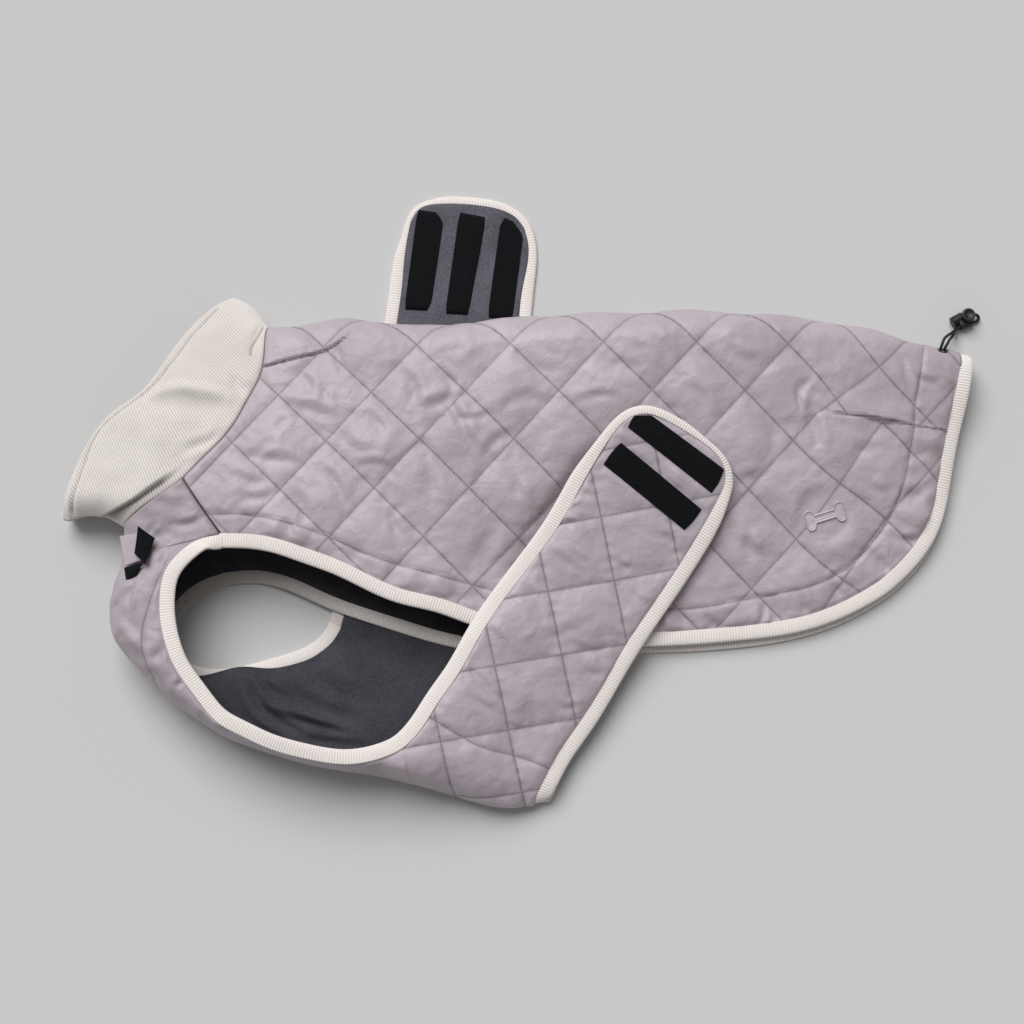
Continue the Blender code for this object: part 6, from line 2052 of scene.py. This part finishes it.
class CoatCloth(PropertyGroup):
    crown: amount("Crown", "Outer face over the quilting's middle, amid a diamond", 0.0037)
    trough: amount("Trough", "The same, on a quilting line", 0.0005)
    pucker: amount("Pucker", "Small gathers along the quilting lines", 0.00020)
    creases: amount("Creases", "Depth of the folds laid by hand, as a share", 1.9, "NONE")
    pillow_power: amount("Pillow power", "Below 0.5 the diamonds are flatter, with steeper edges",
                         0.60, "NONE")
    badge_seat: amount("Badge seat", "Outer face under the badge", 0.0013)
    wale: amount("Wale", "Height of the collar's corduroy wales", 0.0009)
    rib: amount("Rib", "Depth between the bindings' ribs", 0.00048)


class CoatStage(PropertyGroup):
    floor: amount("Floor", "Side of the floor", 9.0)
    key: amount("Key light", "Soft light from the upper left, in W/m2", 2.78, "NONE")
    sky: amount("Sky", "Even light from all round", 0.25, "NONE")


class COAT_OT_stage(Operator):
    """Camera, floor and lights"""
    bl_idname = "coat.stage"
    bl_label = "Stage"

    def execute(self, context):
        make_stage()
        return {"FINISHED"}


class COAT_OT_cord(Operator):
    """Elastic drawcord with its lock and eyelet"""
    bl_idname = "coat.cord"
    bl_label = "Drawcord and lock"

    def execute(self, context):
        make_drawcord()
        make_eyelet()
        return {"FINISHED"}


class COAT_OT_back(Operator):
    """Quilted back panel and its fleece"""
    bl_idname = "coat.back"
    bl_label = "Back panel"

    def execute(self, context):
        make_back()
        make_back_lining()
        return {"FINISHED"}


class COAT_OT_belly(Operator):
    """Quilted chest strip and wings, and their fleece"""
    bl_idname = "coat.belly"
    bl_label = "Belly panel"

    def execute(self, context):
        make_belly()
        make_belly_lining()
        return {"FINISHED"}


class COAT_OT_collar(Operator):
    """Corduroy collar"""
    bl_idname = "coat.collar"
    bl_label = "Collar"

    def execute(self, context):
        make_collar()
        return {"FINISHED"}


class COAT_OT_bindings(Operator):
    """Ribbed bindings on the free edges of both panels"""
    bl_idname = "coat.bindings"
    bl_label = "Bindings"

    def execute(self, context):
        make_bindings()
        return {"FINISHED"}


class COAT_OT_tapes(Operator):
    """Hook and loop strips on both wings"""
    bl_idname = "coat.tapes"
    bl_label = "Hook and loop strips"

    def execute(self, context):
        make_tapes()
        return {"FINISHED"}


class COAT_OT_throat(Operator):
    """Tab with its hook and loop tapes at the throat"""
    bl_idname = "coat.throat"
    bl_label = "Throat closure"

    def execute(self, context):
        make_throat()
        return {"FINISHED"}


class COAT_OT_badge(Operator):
    """Raised bone on the near flank"""
    bl_idname = "coat.badge"
    bl_label = "Badge"

    def execute(self, context):
        make_badge()
        return {"FINISHED"}


MAKERS = (COAT_OT_stage, COAT_OT_cord, COAT_OT_back, COAT_OT_belly, COAT_OT_collar,
          COAT_OT_bindings, COAT_OT_tapes, COAT_OT_throat, COAT_OT_badge)
GROUPS = {"coat_colours": CoatColours, "coat_cloth": CoatCloth, "coat_stage": CoatStage}


class COAT_PT_panel(Panel):
    """Colours, sizes and makers of the coat"""
    bl_idname = "COAT_PT_panel"
    bl_label = "Quilted Dog Coat"
    bl_space_type = "VIEW_3D"
    bl_region_type = "UI"
    bl_category = "Coat"

    def draw(self, context):
        for key, group in GROUPS.items():
            box = self.layout.box()
            for prop in group.__annotations__:
                box.prop(getattr(context.scene, key), prop)
        for maker in MAKERS:
            self.layout.operator(maker.bl_idname)


CLASSES = (*GROUPS.values(), *MAKERS, COAT_PT_panel)


def register():
    for made in CLASSES:
        bpy.utils.register_class(made)
    for key, group in GROUPS.items():
        setattr(bpy.types.Scene, key, PointerProperty(type=group))


def unregister():
    for key in GROUPS:
        delattr(bpy.types.Scene, key)
    for made in reversed(CLASSES):
        bpy.utils.unregister_class(made)


def main():
    register()
    bpy.ops.coat.stage()
    bpy.ops.coat.cord()
    bpy.ops.coat.back()
    bpy.ops.coat.belly()
    bpy.ops.coat.collar()
    bpy.ops.coat.bindings()
    bpy.ops.coat.tapes()
    bpy.ops.coat.throat()
    bpy.ops.coat.badge()


if __name__ == "__main__":
    main()
